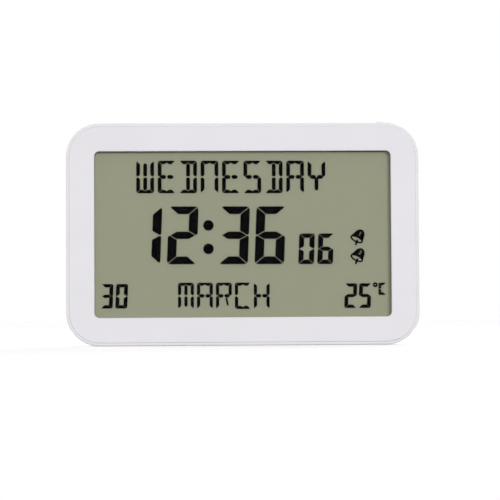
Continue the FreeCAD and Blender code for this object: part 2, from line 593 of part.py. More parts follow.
def case_key_well(case):
    """Shallow well in the back with a guided hole for each key, and the pin hole for reset."""
    block(case, "well_floor", (f"-{KEY_WELL_LENGTH} / 2 - 2", f"{KEY_WELL_LENGTH} / 2 + 2"),
          (KEY_CEILING, INNER_BACK),
          (f"{KEY_Z} - key_well_width / 2 - 2", f"{KEY_Z} + key_well_width / 2 + 2"))
    well = sketch(case, "key_well", at=WELL_FLOOR)
    oblong(well, KEY_WELL_LENGTH, "key_well_width", up=KEY_Z)
    pocket(case, well, "key_well_depth + 1")
    guides = sketch(case, "key_guides", at=f"{KEY_CEILING} - key_guide_depth")
    holes = sketch(case, "key_holes", at=f"{KEY_CEILING} - 0.1")
    for number in range(len(KEY_NAMES)):
        x, lip = key_x(number), "2 * (key_lip + key_gap)"
        for size in (f"{lip} + 2 * key_guide_wall", lip):
            oblong(guides, f"key_length + {size}", f"key_width + {size}", x, KEY_Z)
        oblong(holes, "key_length + 2 * key_gap", "key_width + 2 * key_gap", x, KEY_Z)
    pad(case, guides, "key_guide_depth")
    pocket(case, holes, "wall + 1")
    rod(case, "reset_hole", "reset_hole", "y", f"{INNER_BACK} - 1", f"{BACK} + 1", x=RESET_X,
        z=KEY_Z, cut=True)
    rod(case, "snooze_hole", "snooze_diameter + 2 * key_gap", "z", "case_height - wall - 1",
        "case_height + 1", x="snooze_x", y=SIDE_SWITCH_Y, cut=True)


def case_sounder_seat(case):
    """Round seat that holds the sounder disc off the back wall, with a rose of holes behind it."""
    seat_top = f"({INNER_BACK} - sounder_chamber)"
    spot = dict(x="sounder_x", z="sounder_z")
    rod(case, "sounder_seat", "disc_diameter + 0.4 + 2 * sounder_wall", "y",
        f"{seat_top} - 2 * disc_thickness", INNER_BACK, **spot)
    rod(case, "sounder_rest", "disc_diameter + 0.4", "y", f"{seat_top} - 2 * disc_thickness - 1",
        seat_top, cut=True, **spot)
    rod(case, "sounder_chamber", "disc_diameter - 2 * sounder_ledge", "y", f"{seat_top} - 0.1",
        INNER_BACK, cut=True, **spot)
    rose = sketch(case, "sound_holes", at=f"{INNER_BACK} - 0.1")
    circle(rose, "sound_hole", "sounder_x", "sounder_z")
    for ring in (1, 2):
        for step in range(6 * ring):
            turn = 60 / ring * step
            circle(rose, "sound_hole", f"sounder_x + {ring} * sound_ring * cos({turn} deg)",
                   f"sounder_z + {ring} * sound_ring * sin({turn} deg)")
    pocket(case, rose, "wall + 1")


def case_vent(case):
    """Row of slots that lets room air reach the temperature sensor."""
    slots = sketch(case, "vent_slots", at=f"{INNER_BACK} - 0.1")
    for step in range(SIZES["vent_count"]):
        oblong(slots, "vent_length", "vent_width", "sensor_x", f"{BOARD_BOTTOM} - vent_drop + {step} * vent_pitch")
    pocket(case, slots, "wall + 1")


def make_rear_case():
    case = body("rear_case")
    case_tray(case)
    case_foot_recess(case)
    case_battery_bay(case)
    case_keyholes(case)
    case_key_well(case)
    case_sounder_seat(case)
    case_vent(case)
    case_screw_pillars(case)
    finish("rear_case", case)


# ---------------------------------------------------------------------------------------------------
# Front bezel and window
# ---------------------------------------------------------------------------------------------------
def make_front_bezel():
    bezel = body("front_bezel")
    face = sketch(bezel, "bezel_outline", at=FRONT)
    rounded_rectangle(face, BEZEL_WIDTH, BEZEL_HEIGHT, BEZEL_RADIUS, up=MID_Z)
    form = pad(bezel, face, "bezel_thickness")
    dress(bezel, "Fillet", form, lambda p: near(p.y, FRONT), "bezel_edge_radius")
    view = sketch(bezel, "window", at=FRONT)
    rounded_rectangle(view, "window_width", "window_height", "window_radius", up=MID_Z)
    form = pocket(bezel, view, "bezel_thickness")
    half = "window_width / 2 + 0.1"
    dress(bezel, "Chamfer", form, lambda p: near(p.y, FRONT) and abs(p.x) < value(half)
          and abs(p.z - value(MID_Z)) < value("window_height / 2 + 0.1"), "window_chamfer")
    rebate = sketch(bezel, "lens_rebate", at=f"{BEZEL_BACK} - lens_thickness")
    rounded_rectangle(rebate, f"{LENS_WIDTH} + 2 * lens_gap", f"{LENS_HEIGHT} + 2 * lens_gap",
                      f"{LENS_RADIUS} + lens_gap", up=MID_Z)
    pocket(bezel, rebate, "lens_thickness")
    skirt = sketch(bezel, "skirt", at=BEZEL_BACK)
    rounded_rectangle(skirt, BEZEL_WIDTH, BEZEL_HEIGHT, BEZEL_RADIUS, up=MID_Z)
    rounded_rectangle(skirt, f"{BEZEL_WIDTH} - 2 * skirt_thickness",
                      f"{BEZEL_HEIGHT} - 2 * skirt_thickness", f"{BEZEL_RADIUS} - skirt_thickness",
                      up=MID_Z)
    pad(bezel, skirt, "skirt_depth")
    fence = sketch(bezel, "display_fence", at=BEZEL_BACK)
    rectangle(fence, f"{FENCE_WIDTH} + 2 * fence_thickness", f"{FENCE_HEIGHT} + 2 * fence_thickness",
              up=DISPLAY_Z)
    rectangle(fence, FENCE_WIDTH, FENCE_HEIGHT, up=DISPLAY_Z)
    pad(bezel, fence, "fence_depth")
    for name, places, size, core, tip, bottom in (
            ("boss", BOSSES, "boss_diameter", "screw_core", BOSS_JOINT,
             f"{SCREW_SEAT} - screw_length - 0.6"),
            ("ear_boss", EARS, "ear_diameter", "small_core", RETAINER_FRONT,
             f"{RETAINER_BACK} - small_screw_length - 0.4")):
        bosses = sketch(bezel, f"{name}es", at=f"{BEZEL_BACK} - 0.1")
        four_circles(bosses, size, *places)
        pad(bezel, bosses, f"{tip} - {BEZEL_BACK} + 0.1")
        cores = sketch(bezel, f"{name}_cores", at=bottom)
        four_circles(cores, core, *places)
        pocket(bezel, cores, f"{tip} - ({bottom}) + 1")
    finish("front_bezel", bezel)


# ---------------------------------------------------------------------------------------------------
# Window, gasket and display stack
# ---------------------------------------------------------------------------------------------------
def make_display_stack():
    plate("display_window", LENS_WIDTH, LENS_HEIGHT, (f"{BEZEL_BACK} - lens_thickness", BEZEL_BACK),
          LENS_RADIUS)
    gasket = body("display_gasket")
    ring = sketch(gasket, "gasket_ring", at=BEZEL_BACK)
    rectangle(ring, f"{GLASS_WIDTH} - 0.4", f"{GLASS_HEIGHT} - 0.4", up=DISPLAY_Z)
    rectangle(ring, f"{GLASS_WIDTH} - 0.4 - 2 * gasket_width",
              f"{GLASS_HEIGHT} - ledge_cover - 0.4 - 2 * gasket_width", up=MID_Z)
    pad(gasket, ring, "gasket_thickness")
    finish("display_gasket", gasket)
    plate("front_polariser", f"{GLASS_WIDTH} - 1", f"{GLASS_HEIGHT} - 1",
          (f"{GLASS_FRONT} - polariser_thickness", f"{GLASS_FRONT} - film_adhesive"), up=DISPLAY_Z)
    plate("display_front_glass", GLASS_WIDTH, GLASS_HEIGHT, (GLASS_FRONT, CELL_FRONT), up=DISPLAY_Z)
    lowered = f"({DISPLAY_Z} - contact_ledge / 2)"
    plate("display_rear_glass", GLASS_WIDTH, f"{GLASS_HEIGHT} - contact_ledge",
          (CELL_BACK, GLASS_BACK), up=lowered)
    plate("rear_reflector", f"{GLASS_WIDTH} - 0.2", f"{GLASS_HEIGHT} - contact_ledge - 0.2",
          (f"{GLASS_BACK} + film_adhesive", RETAINER_FRONT), up=lowered)


def make_display_retainer():
    """Frame with two cross bars that clamps the glass, carries the board and guides the connector."""
    frame = body("display_retainer")
    face = sketch(frame, "retainer_outline", at=RETAINER_FRONT)
    rectangle(face, f"{FENCE_WIDTH} + 2 * fence_thickness", f"{FENCE_HEIGHT} + 2 * fence_thickness",
              up=DISPLAY_Z)
    pad(frame, face, "retainer_thickness")
    for side in ("", "-"):
        across = f"({side}ear_spacing / 2)"
        block(frame, f"ear_strap_{'left' if side else 'right'}",
              (f"{across} - ear_diameter / 2", f"{across} + ear_diameter / 2"),
              (RETAINER_FRONT, RETAINER_BACK), (EARS[2], EARS[1]))
    opening_width = f"(({GLASS_WIDTH} - 4 * retainer_bar) / 3)"
    opening_height = f"({GLASS_HEIGHT} - 4.5 * retainer_bar)"
    for tag, step in (("left", -1), ("middle", 0), ("right", 1)):
        hole = sketch(frame, f"retainer_opening_{tag}", at=RETAINER_FRONT)
        rounded_rectangle(hole, opening_width, opening_height, "3",
                          f"{step} * ({opening_width} + retainer_bar)",
                          f"{DISPLAY_Z} - {GLASS_HEIGHT} / 2 + retainer_bar + {opening_height} / 2")
        pocket(frame, hole, "retainer_thickness")
    block(frame, "connector_slot", ("-connector_length / 2 - connector_gap",
                                    "connector_length / 2 + connector_gap"),
          (f"{RETAINER_FRONT} - 1", f"{RETAINER_BACK} + 1"),
          (f"{CONNECTOR_Z} - connector_thickness / 2 - connector_gap",
           f"{CONNECTOR_Z} + connector_thickness / 2 + connector_gap"), cut=True)
    ends = sketch(frame, "ear_ends", at=RETAINER_FRONT)
    four_circles(ends, "ear_diameter", *EARS)
    pad(frame, ends, "retainer_thickness")
    posts = sketch(frame, "posts", at=f"{RETAINER_BACK} - 0.1")
    four_circles(posts, "post_diameter", *BOARD_HOLES)
    pad(frame, posts, "post_height + 0.1")
    holes = sketch(frame, "screw_holes", at=f"{RETAINER_FRONT} - 1")
    four_circles(holes, "small_core + 0.4", *EARS)
    pocket(frame, holes, "retainer_thickness + 2")
    cores = sketch(frame, "post_cores", at=f"{RETAINER_FRONT} - 1")
    four_circles(cores, "small_core", *BOARD_HOLES)
    pocket(frame, cores, "retainer_thickness + post_height + 2")
    finish("display_retainer", frame)


# ---------------------------------------------------------------------------------------------------
# Main board and what is soldered to it
# ---------------------------------------------------------------------------------------------------
def make_board():
    board = body("main_board")
    face = sketch(board, "board_outline", at=BOARD_FRONT)
    rounded_rectangle(face, "board_width", BOARD_HEIGHT, "1.5", up=f"{BOARD_TOP} - {BOARD_HEIGHT} / 2")
    four_circles(face, "small_core + 0.4", *BOARD_HOLES)
    pad(board, face, "board_thickness")
    finish("main_board", board)

    finish("rubber_connector",
           part_box("rubber_connector", ("-connector_length / 2", "connector_length / 2"),
                    (CELL_FRONT, BOARD_FRONT),
                    (f"{CONNECTOR_Z} - connector_thickness / 2",
                     f"{CONNECTOR_Z} + connector_thickness / 2")))

    chip = body("driver_chip")
    profile = sketch(chip, "chip_profile", plane="XY_Plane", at=f"{BOARD_BOTTOM} + {BOARD_HEIGHT} / 2")
    x, y = "-56", BOARD_BACK
    polygon(profile, ((x, y), (f"{x} + chip_diameter / 2", y),
                      (f"{x} + chip_diameter / 2.6", f"{y} + chip_height * 0.7"),
                      (f"{x} + chip_diameter / 5", f"{y} + chip_height"), (x, f"{y} + chip_height")))
    dome = chip.newObject("PartDesign::Revolution", "chip_dome")
    dome.Profile = profile
    doc.recompute([profile])
    axis = profile.addGeometry(Part.LineSegment(Vector(value(x), 0, 0), Vector(value(x), 1, 0)), True)
    limit(profile, "Vertical", axis)
    place_point(profile, axis, 1, x, "0")
    limit(profile, "DistanceY", axis, 1, axis, 2, formula="1")
    dome.ReferenceAxis = (profile, ["Axis0"])
    dome.Angle = 360
    finish("driver_chip", chip)

    finish("quartz_crystal",
           part_rod("quartz_crystal", "crystal_diameter", "x", "-42", "-42 + crystal_length",
                    y=f"{BOARD_BACK} + crystal_diameter / 2 + 0.1",
                    z=f"{BOARD_BOTTOM} + {BOARD_HEIGHT} / 2"))

    z, leg = f"({BOARD_BOTTOM} + 2)", "sensor_bead / 4"
    legs = [part_rod(f"sensor_leg_{tag}", "sensor_leg", "y", BOARD_BACK, f"{BOARD_BACK} + sensor_reach",
                     x=f"sensor_x {side} {leg}", z=z) for tag, side in (("left", "-"), ("right", "+"))]
    bead = part_rod("sensor_head", "sensor_bead", "y", f"{BOARD_BACK} + sensor_reach - 0.1",
                    f"{BOARD_BACK} + sensor_reach + sensor_bead", x="sensor_x", z=z)
    rounded = doc.addObject("Part::Fillet", "sensor_head_rounded")
    rounded.Base = bead
    rounded.Edges = [(number, value("sensor_bead * 0.4"), value("sensor_bead * 0.4"))
                     for number, edge in enumerate(bead.Shape.Edges, start=1)
                     if edge.Closed and near(edge.Vertexes[0].Y,
                                             f"{BOARD_BACK} + sensor_reach + sensor_bead")]
    doc.recompute([rounded])
    finish("temperature_sensor", combine("MultiFuse", "temperature_sensor", rounded, *legs))


def switch_housing(label, axis, x, y, z):
    """Square switch housing on the board whose bore faces along an axis."""
    half = "switch_width / 2"
    if axis == "y":
        shell = part_box(f"{label}_shell", (f"{x} - {half}", f"{x} + {half}"),
                         (BOARD_BACK, SWITCH_TOP), (f"{z} - {half}", f"{z} + {half}"))
        bore = part_rod(f"{label}_bore", "plunger_diameter + 2 * plunger_gap", "y",
                        f"{SWITCH_TOP} - 1", f"{SWITCH_TOP} + 1", x=x, z=z)
    else:
        shell = part_box(f"{label}_shell", (f"{x} - {half}", f"{x} + {half}"),
                         (BOARD_BACK, f"{BOARD_BACK} + side_switch_depth"), (SIDE_SWITCH_Z, BOARD_TOP))
        bore = part_rod(f"{label}_bore", "snooze_stem - 1 + 2 * plunger_gap", "z",
                        f"{BOARD_TOP} - 1", f"{BOARD_TOP} + 1", x=x, y=y)
    return combine("Cut", label, shell, bore)


def make_switches():
    """Six tactile switches under the back keys and the reset hole, and one that faces up."""
    places = [key_x(number) for number in range(len(KEY_NAMES))] + [RESET_X]
    housings = [switch_housing(f"switch_{i}", "y", x, "0", KEY_Z)
                for i, x in enumerate(places)]
    finish("switch_housings", combine("Compound", "switch_housings", *housings))
    names = [name.replace("_key", "_plunger") for name in KEY_NAMES] + ["reset_plunger"]
    for name, x in zip(names, places):
        finish(name, part_rod(name, "plunger_diameter", "y", f"{SWITCH_TOP} - 1 + key_travel + 0.1",
                              PLUNGER_TOP, x=x, z=KEY_Z))
    finish("snooze_switch_housing",
           switch_housing("snooze_switch_housing", "z", "snooze_x", SIDE_SWITCH_Y, "0"))
    finish("snooze_plunger",
           part_rod("snooze_plunger", "snooze_stem - 1", "z", f"{BOARD_TOP} - 1 + key_travel + 0.1",
                    f"{BOARD_TOP} + switch_rise", x="snooze_x", y=SIDE_SWITCH_Y))


# ---------------------------------------------------------------------------------------------------
# Keys and the snooze button
# ---------------------------------------------------------------------------------------------------
def make_key(name, number):
    """Key cap with a retaining lip under the case wall and a stem down to its switch."""
    key = body(name)
    x = key_x(number)
    lip_back = f"({KEY_CEILING} - 0.1)"
    lip = sketch(key, f"{name}_lip", at=lip_back)
    oblong(lip, "key_length + 2 * key_lip", "key_width + 2 * key_lip", x, KEY_Z)
    pad(key, lip, "key_lip_thickness", along="-")
    cap = sketch(key, f"{name}_cap", at=lip_back)
    oblong(cap, "key_length", "key_width", x, KEY_Z)
    form = pad(key, cap, f"{WELL_FLOOR} + key_proud - {lip_back}")
    dress(key, "Fillet", form, lambda p: near(p.y, f"{WELL_FLOOR} + key_proud"), "key_edge_radius")
    rod(key, f"{name}_stem", "key_stem", "y", PLUNGER_TOP, f"{lip_back} - 0.5", x=x, z=KEY_Z)
    finish(name, key)


def revolve(owner, profile, line, angle=360):
    """Turn a sketched profile about one of its own construction lines."""
    turned = owner.newObject("PartDesign::Revolution", f"{profile.Name}_turned")
    turned.Profile = profile
    turned.ReferenceAxis = (profile, [line])
    turned.Angle = angle
    profile.Visibility = False
    doc.recompute([profile, turned])
    return turned


def centre_line(profile, across, upright=True):
    """Construction line through the profile, parallel to one of its axes, to turn it about."""
    spot = value(across)
    start, end = ((spot, 0), (spot, 1)) if upright else ((0, spot), (1, spot))
    line = profile.addGeometry(Part.LineSegment(Vector(*start, 0), Vector(*end, 0)), True)
    limit(profile, "Vertical" if upright else "Horizontal", line)
    place_point(profile, line, 1, across if upright else "0", "0" if upright else across)
    limit(profile, "DistanceY" if upright else "DistanceX", line, 1, line, 2, formula="1")


def make_snooze_button():
    """Round button in the top edge, held in by a lip, with a stem down to its switch."""
    button = body("snooze_button")
    spot = dict(x="snooze_x", y=SIDE_SWITCH_Y)
    lip_top, crown = "(case_height - wall - snooze_lip_gap)", "case_height + snooze_proud"
    cap = rod(button, "snooze_cap", "snooze_diameter", "z", f"{lip_top} - snooze_lip_thickness", crown,
              **spot)
    dress(button, "Fillet", cap, lambda p: near(p.z, crown), "snooze_edge_radius")
    rod(button, "snooze_lip", "snooze_diameter + 2 * snooze_lip", "z",
        f"{lip_top} - snooze_lip_thickness", lip_top, **spot)
    rod(button, "snooze_stem", "snooze_stem", "z", f"{BOARD_TOP} + switch_rise",
        f"{lip_top} - snooze_lip_thickness + 0.1", **spot)
    finish("snooze_button", button)


# ---------------------------------------------------------------------------------------------------
# Fold-out foot
# ---------------------------------------------------------------------------------------------------
def make_foot():
    """Flap on two trunnions; its heel lands on the recess floor when the foot stands square."""
    foot = body("table_foot")
    side = sketch(foot, "foot_side", plane="YZ_Plane")
    y, z, heel = FOOT_AXIS, "foot_axis_z", "foot_heel"
    inner_drop = f"sqrt({heel} ^ 2 - foot_inner ^ 2)"
    spots = ((f"{y} + foot_axis_depth", FOOT_TIP_Z), (f"{y} + foot_axis_depth", f"{z} - {heel}"),
             (y, f"{z} - {heel}"), (f"{y} - foot_inner", f"{z} - {inner_drop}"),
             (f"{y} - foot_inner", FOOT_TIP_Z))
    points = [Vector(value(a), value(b), 0) for a, b in spots]
    lines = [side.addGeometry(Part.LineSegment(points[i], points[j]), False)
             for i, j in ((0, 1), (1, 2), (3, 4), (4, 0))]
    centre = Vector(value(y), value(z), 0)
    halfway = ((points[2] - centre).normalize() + (points[3] - centre).normalize()).normalize()
    arc = side.addGeometry(Part.Arc(points[2], centre + halfway * value(heel), points[3]), False)
    for line, end, spot in ((0, 1, 0), (1, 1, 1), (1, 2, 2), (2, 1, 3), (3, 1, 4)):
        place_point(side, lines[line], end, *spots[spot])
    first, last = (1, 2) if side.getPoint(arc, 1).distanceToPoint(points[2]) < 0.01 else (2, 1)
    for pair in ((lines[0], 2, lines[1], 1), (lines[1], 2, arc, first), (arc, last, lines[2], 1),
                 (lines[2], 2, lines[3], 1), (lines[3], 2, lines[0], 1)):
        limit(side, "Coincident", *pair)
    limit(side, "Radius", arc, formula=heel)
    form = pad(foot, side, "foot_width", midplane=True)
    at_tip = lambda p: near(p.z, FOOT_TIP_Z) and near(abs(p.x), "foot_width / 2")
    form = dress(foot, "Fillet", form, at_tip, "foot_corner_radius")
    form = dress(foot, "Fillet", form,
                 lambda p: near(p.y, BACK) and not near(p.z, f"{z} - {heel}"), "foot_edge_radius")
    opening = "((foot_width - 3 * foot_rim) / 2)"
    height = "(foot_length - 2 * foot_rim - foot_corner_radius)"
    for tag, step in (("left", "-"), ("right", "")):
        hollow = sketch(foot, f"foot_hollow_{tag}", at=f"{FOOT_AXIS} - foot_inner")
        rounded_rectangle(hollow, opening, height, "2", f"{step}({opening} + foot_rim) / 2",
                          f"foot_axis_z + foot_heel + foot_rim + {height} / 2")
        pocket(foot, hollow, "foot_hollow")
    rod(foot, "trunnions", "trunnion_diameter", "x", "-foot_width / 2 - trunnion_length",
        "foot_width / 2 + trunnion_length", y=FOOT_AXIS, z="foot_axis_z")
    finish("table_foot", foot)


# ---------------------------------------------------------------------------------------------------
# Battery door and its latch
# ---------------------------------------------------------------------------------------------------
def make_battery_door():
    door = body("battery_door")
    face = sketch(door, "door_face", at=INNER_BACK)
    rounded_rectangle(face, f"{DOOR_WIDTH} - 2 * door_gap", f"{DOOR_HEIGHT} - 2 * door_gap",
                      "door_corner_radius", up=BAY_Z)
    form = pad(door, face, "wall")
    dress(door, "Fillet", form, lambda p: near(p.y, BACK), "door_edge_radius")
    for step in range(3):
        up = f"({DOOR_BOTTOM} + 5 + {step} * grip_pitch)"
        rod(door, f"grip_groove_{step}", "grip_width", "x", "-grip_length / 2", "grip_length / 2",
            y=f"{BACK} + grip_width / 2 - grip_depth", z=up, cut=True)
    block(door, "latch_notch", ("-latch_width / 2 - door_gap", "latch_width / 2 + door_gap"),
          (f"{INNER_BACK} - 1", f"{BACK} + 1"), (f"{DOOR_TOP} - latch_height", f"{DOOR_TOP} + 1"),
          cut=True)
    for side in ("-", ""):
        middle = f"({side}tab_spacing / 2)"
        across = (f"{middle} - tab_width / 2", f"{middle} + tab_width / 2")
        tag = "left" if side else "right"
        block(door, f"tab_root_{tag}", across, (f"{INNER_BACK} - 0.2 - tab_thickness", f"{INNER_BACK} + 0.1"),
              (f"{DOOR_BOTTOM} + door_gap", f"{DOOR_BOTTOM} + door_gap + 1.6"))
        block(door, f"tab_{tag}", across,
              (f"{INNER_BACK} - 0.2 - tab_thickness", f"{INNER_BACK} - 0.2"),
              (f"{DOOR_BOTTOM} - tab_reach", f"{DOOR_BOTTOM} + door_gap + 0.1"))
    finish("battery_door", door)

    latch = body("battery_door_latch")
    side = sketch(latch, "latch_side", plane="YZ_Plane")
    inner, outer = f"({INNER_BACK} + 0.2)", f"({BACK} - 0.2)"
    root, top = f"({DOOR_TOP} - latch_height)", f"({DOOR_TOP} - 2 * door_gap)"
    nose_back, nose_front = f"({INNER_BACK} - 0.15)", f"({INNER_BACK} - 0.15 - latch_thickness)"
    polygon(side, (
        (f"{outer} - latch_thickness", root), (outer, root), (outer, top),
        (f"{outer} - latch_thickness", top), (nose_back, top), (nose_back, f"{DOOR_TOP} + latch_catch"),
        (f"{nose_front} + 0.5", f"{DOOR_TOP} + latch_catch"), (nose_front, f"{DOOR_TOP} + 0.1"),
        (nose_front, f"{top} - 1.2"), (f"{inner}", f"{top} - 1.2"),
        (f"{outer} - latch_thickness", f"{top} - 1.8")))
    pad(latch, side, "latch_width", midplane=True)
    for step in range(3):
        up = f"({root} + 1.4 + {step} * grip_pitch)"
        rod(latch, f"latch_rib_{step}", "grip_width", "x", "-latch_width / 2 + 1.5",
            "latch_width / 2 - 1.5", y=f"{outer} - grip_width / 2 + 0.2", z=up)
    finish("battery_door_latch", latch)


# ---------------------------------------------------------------------------------------------------
# Batteries and contacts
# ---------------------------------------------------------------------------------------------------
def make_cell(name, up, facing):
    """Battery lying along X with its positive nub towards +X or -X."""
    cell = body(name)
    profile = sketch(cell, f"{name}_profile", plane="XY_Plane", at=up)
    low = f"({'-' if facing < 0 else ''}1 * (bay_length / 2 - contact_thickness - nub_height))"
    tip = f"({low} + {facing} * nub_height)"
    base = f"({low} - {facing} * cell_length)"
    r, y = "cell_diameter / 2", CELL_AXIS
    polygon(profile, ((base, y), (base, f"{y} + {r} - 0.8"), (f"{base} + {facing} * 0.8", f"{y} + {r}"),
                      (f"{low} - {facing} * 0.8", f"{y} + {r}"), (low, f"{y} + {r} - 0.8"),
                      (low, f"{y} + nub_diameter / 2"), (tip, f"{y} + nub_diameter / 2"), (tip, y)))
    centre_line(profile, y, upright=False)
    revolve(cell, profile, "Axis0")
    finish(name, cell)


def contact_plate(label, side, low, high):
    """Nickel-plated strip that stands against one end of the battery compartment."""
    end, inner = "bay_length / 2", "bay_length / 2 - contact_thickness"
    across = (f"-{end}", f"-({inner})") if side < 0 else (inner, end)
    return part_box(label, across, (f"{CELL_AXIS} - contact_depth / 2", f"{CELL_AXIS} + contact_depth / 2"),
                    (low, high))


def make_contacts():
    half = "contact_width / 2"
    upper, lower = f"({BAY_Z} + {CELL_SPACING} / 2)", f"({BAY_Z} - {CELL_SPACING} / 2)"
    finish("positive_contact", contact_plate("positive_contact", 1, f"{upper} - {half}", f"{upper} + {half}"))
    finish("negative_contact", contact_plate("negative_contact", 1, f"{lower} - {half}", f"{lower} + {half}"))
    finish("linking_contact", contact_plate("linking_contact", -1, f"{lower} - {half}", f"{upper} + {half}"))


def make_spring(name, side, up):
    """Conical coil that presses on the flat end of a cell."""
    coil = body(name)
    plate_face = f"({side} * (bay_length / 2 - contact_thickness))"
    reach = "(bay_length - 2 * contact_thickness - nub_height - cell_length)"
    pitch = f"(({reach} - spring_wire) / spring_turns)"
    drawing = sketch(coil, f"{name}_wire", plane="XY_Plane", at=up)
    rectangle(drawing, "spring_wire", "spring_wire",
              f"{plate_face} - {side} * spring_wire / 2", f"{CELL_AXIS} + (spring_large - spring_wire) / 2")
    centre_line(drawing, CELL_AXIS, upright=False)
    wound = coil.newObject("PartDesign::AdditiveHelix", f"{name}_coil")
    wound.Profile = drawing
    wound.ReferenceAxis = (drawing, ["Axis0"])
    wound.Mode = "pitch-turns-angle"
    wound.Reversed = side > 0
    bind(wound, Pitch=pitch, Turns="spring_turns",
         Angle=f"-atan((spring_large - spring_small) / 2 / ({reach} - spring_wire))")
    drawing.Visibility = False
    doc.recompute([drawing, wound])
    finish(name, coil)


def make_batteries():
    upper, lower = f"({BAY_Z} + {CELL_SPACING} / 2)", f"({BAY_Z} - {CELL_SPACING} / 2)"
    make_cell("upper_battery", upper, 1)
    make_cell("lower_battery", lower, -1)
    make_contacts()
    make_spring("linking_spring", -1, upper)
    make_spring("negative_spring", 1, lower)


# ---------------------------------------------------------------------------------------------------
# Sounder and screws
# ---------------------------------------------------------------------------------------------------
def make_sounder():
    seat = f"({INNER_BACK} - sounder_chamber)"
    spot = dict(x="sounder_x", z="sounder_z")
    finish("sounder_disc", part_rod("sounder_disc", "disc_diameter", "y", f"{seat} - disc_thickness",
                                    seat, **spot))
    finish("sounder_ceramic",
           part_rod("sounder_ceramic", "ceramic_diameter", "y",
                    f"{seat} - disc_thickness - ceramic_thickness", f"{seat} - disc_thickness", **spot))


def make_screw(label, x, z, seat, head, head_height, shank, length):
    """Pan-head screw that points to -Y from its seat."""
    screw = body(label)
    profile = sketch(screw, f"{label}_profile", plane="XY_Plane", at=z)
    polygon(profile, ((x, f"{seat} - {length}"), (f"{x} + {shank} / 4", f"{seat} - {length}"),
                      (f"{x} + {shank} / 2", f"{seat} - {length} + 0.6"), (f"{x} + {shank} / 2", seat),
                      (f"{x} + {head} / 2", seat), (f"{x} + {head} / 2", f"{seat} + {head_height} * 0.45"),
                      (f"{x} + {head} * 0.36", f"{seat} + {head_height}"), (x, f"{seat} + {head_height}")))
    centre_line(profile, x)
    revolve(screw, profile, "Axis0")
    return screw


def cross_recess(screw, x, z, seat, head, head_height):
    """Cross-shaped drive recess in the head of a screw that can be reached."""
    for tag, wide, tall in (("across", 0.3, 0.07), ("up", 0.07, 0.3)):
        block(screw, f"{screw.Label}_recess_{tag}", (f"{x} - {head} * {wide}", f"{x} + {head} * {wide}"),
              (f"{seat} + {head_height} * 0.4", f"{seat} + {head_height} + 1"),
              (f"{z} - {head} * {tall}", f"{z} + {head} * {tall}"), cut=True)


def make_screws():
    small = ("small_head", "small_head_height", "small_shank", "small_screw_length")
    for name, places, size in (
            ("case_screws", BOSSES, (SCREW_SEAT, "screw_head", "screw_head_height", "screw_shank",
                                     "screw_length")),
            ("retainer_screws", EARS, (RETAINER_BACK, *small)),
            ("board_screws", BOARD_HOLES, (BOARD_BACK, *small))):
        across, *levels = whole(*places)
        column = []
        for tag, level in zip(("upper", "lower"), levels):
            column.append(make_screw(f"{name}_{tag}", across, level, *size))
            if name == "case_screws":
                cross_recess(column[-1], across, level, *size[:3])
        right = combine("Compound", f"{name}_right", *column)
        left = mirror(f"{name}_left", right)
        finish(name, combine("Compound", name, right, left))


# ---------------------------------------------------------------------------------------------------
# Build, check and write
# ---------------------------------------------------------------------------------------------------
def build():
    make_rear_case()
    make_front_bezel()
    make_display_stack()
    make_display_retainer()
    make_board()
    make_switches()
    for number, name in enumerate(KEY_NAMES):
        make_key(name, number)
    make_snooze_button()
    make_foot()
    make_battery_door()
    make_batteries()
    make_sounder()
    make_screws()


def check():
    """Stop if any object failed, or any piece is empty or not a valid solid."""
    doc.recompute()
    broken = [thing.Label for thing in doc.Objects
              if "Invalid" in thing.State or "Error" in thing.State]
    for node, thing in parts.items():
        shape = thing.Shape
        if shape.isNull() or not shape.isValid() or not shape.Solids:
            broken.append(node)
    if broken:
        sys.exit(f"these objects failed: {sorted(set(broken))}")


def write():
    os.makedirs("parts", exist_ok=True)
    for node, thing in parts.items():
        thing.Shape.exportStep(f"parts/{node}.step")
        print(f"{node}: {len(thing.Shape.Solids)} solid(s), {thing.Shape.Volume:.1f} mm3")


build()
check()
write()
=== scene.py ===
"""Finishes, display reading and studio for a day clock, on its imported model.

Every length is in metres in the model's own frame: +X to the right as the display is read, +Z up, and
the display faces -Y. Sizes that a maker would quote in millimetres go through mm().
"""

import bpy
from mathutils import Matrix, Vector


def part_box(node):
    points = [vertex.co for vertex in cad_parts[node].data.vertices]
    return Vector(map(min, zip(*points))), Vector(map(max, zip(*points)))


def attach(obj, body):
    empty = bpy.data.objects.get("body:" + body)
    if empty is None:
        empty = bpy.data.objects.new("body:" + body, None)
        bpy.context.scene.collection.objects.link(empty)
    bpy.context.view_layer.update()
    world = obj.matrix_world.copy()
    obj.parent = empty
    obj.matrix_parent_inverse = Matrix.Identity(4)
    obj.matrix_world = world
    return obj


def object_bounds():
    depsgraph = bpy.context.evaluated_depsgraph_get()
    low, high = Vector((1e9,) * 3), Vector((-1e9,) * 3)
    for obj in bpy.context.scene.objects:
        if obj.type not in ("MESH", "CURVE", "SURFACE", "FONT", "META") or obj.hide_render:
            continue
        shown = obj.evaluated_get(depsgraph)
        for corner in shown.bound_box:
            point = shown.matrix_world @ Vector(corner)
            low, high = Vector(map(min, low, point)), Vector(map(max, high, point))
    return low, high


bl_info = {
    "name": "Day clock",
    "version": (1, 0, 0),
    "blender": (4, 5, 0),
    "location": "3D View > Sidebar > Day clock",
    "description": "Finishes, display segments, key symbols and studio for a day clock",
    "category": "Object",
}

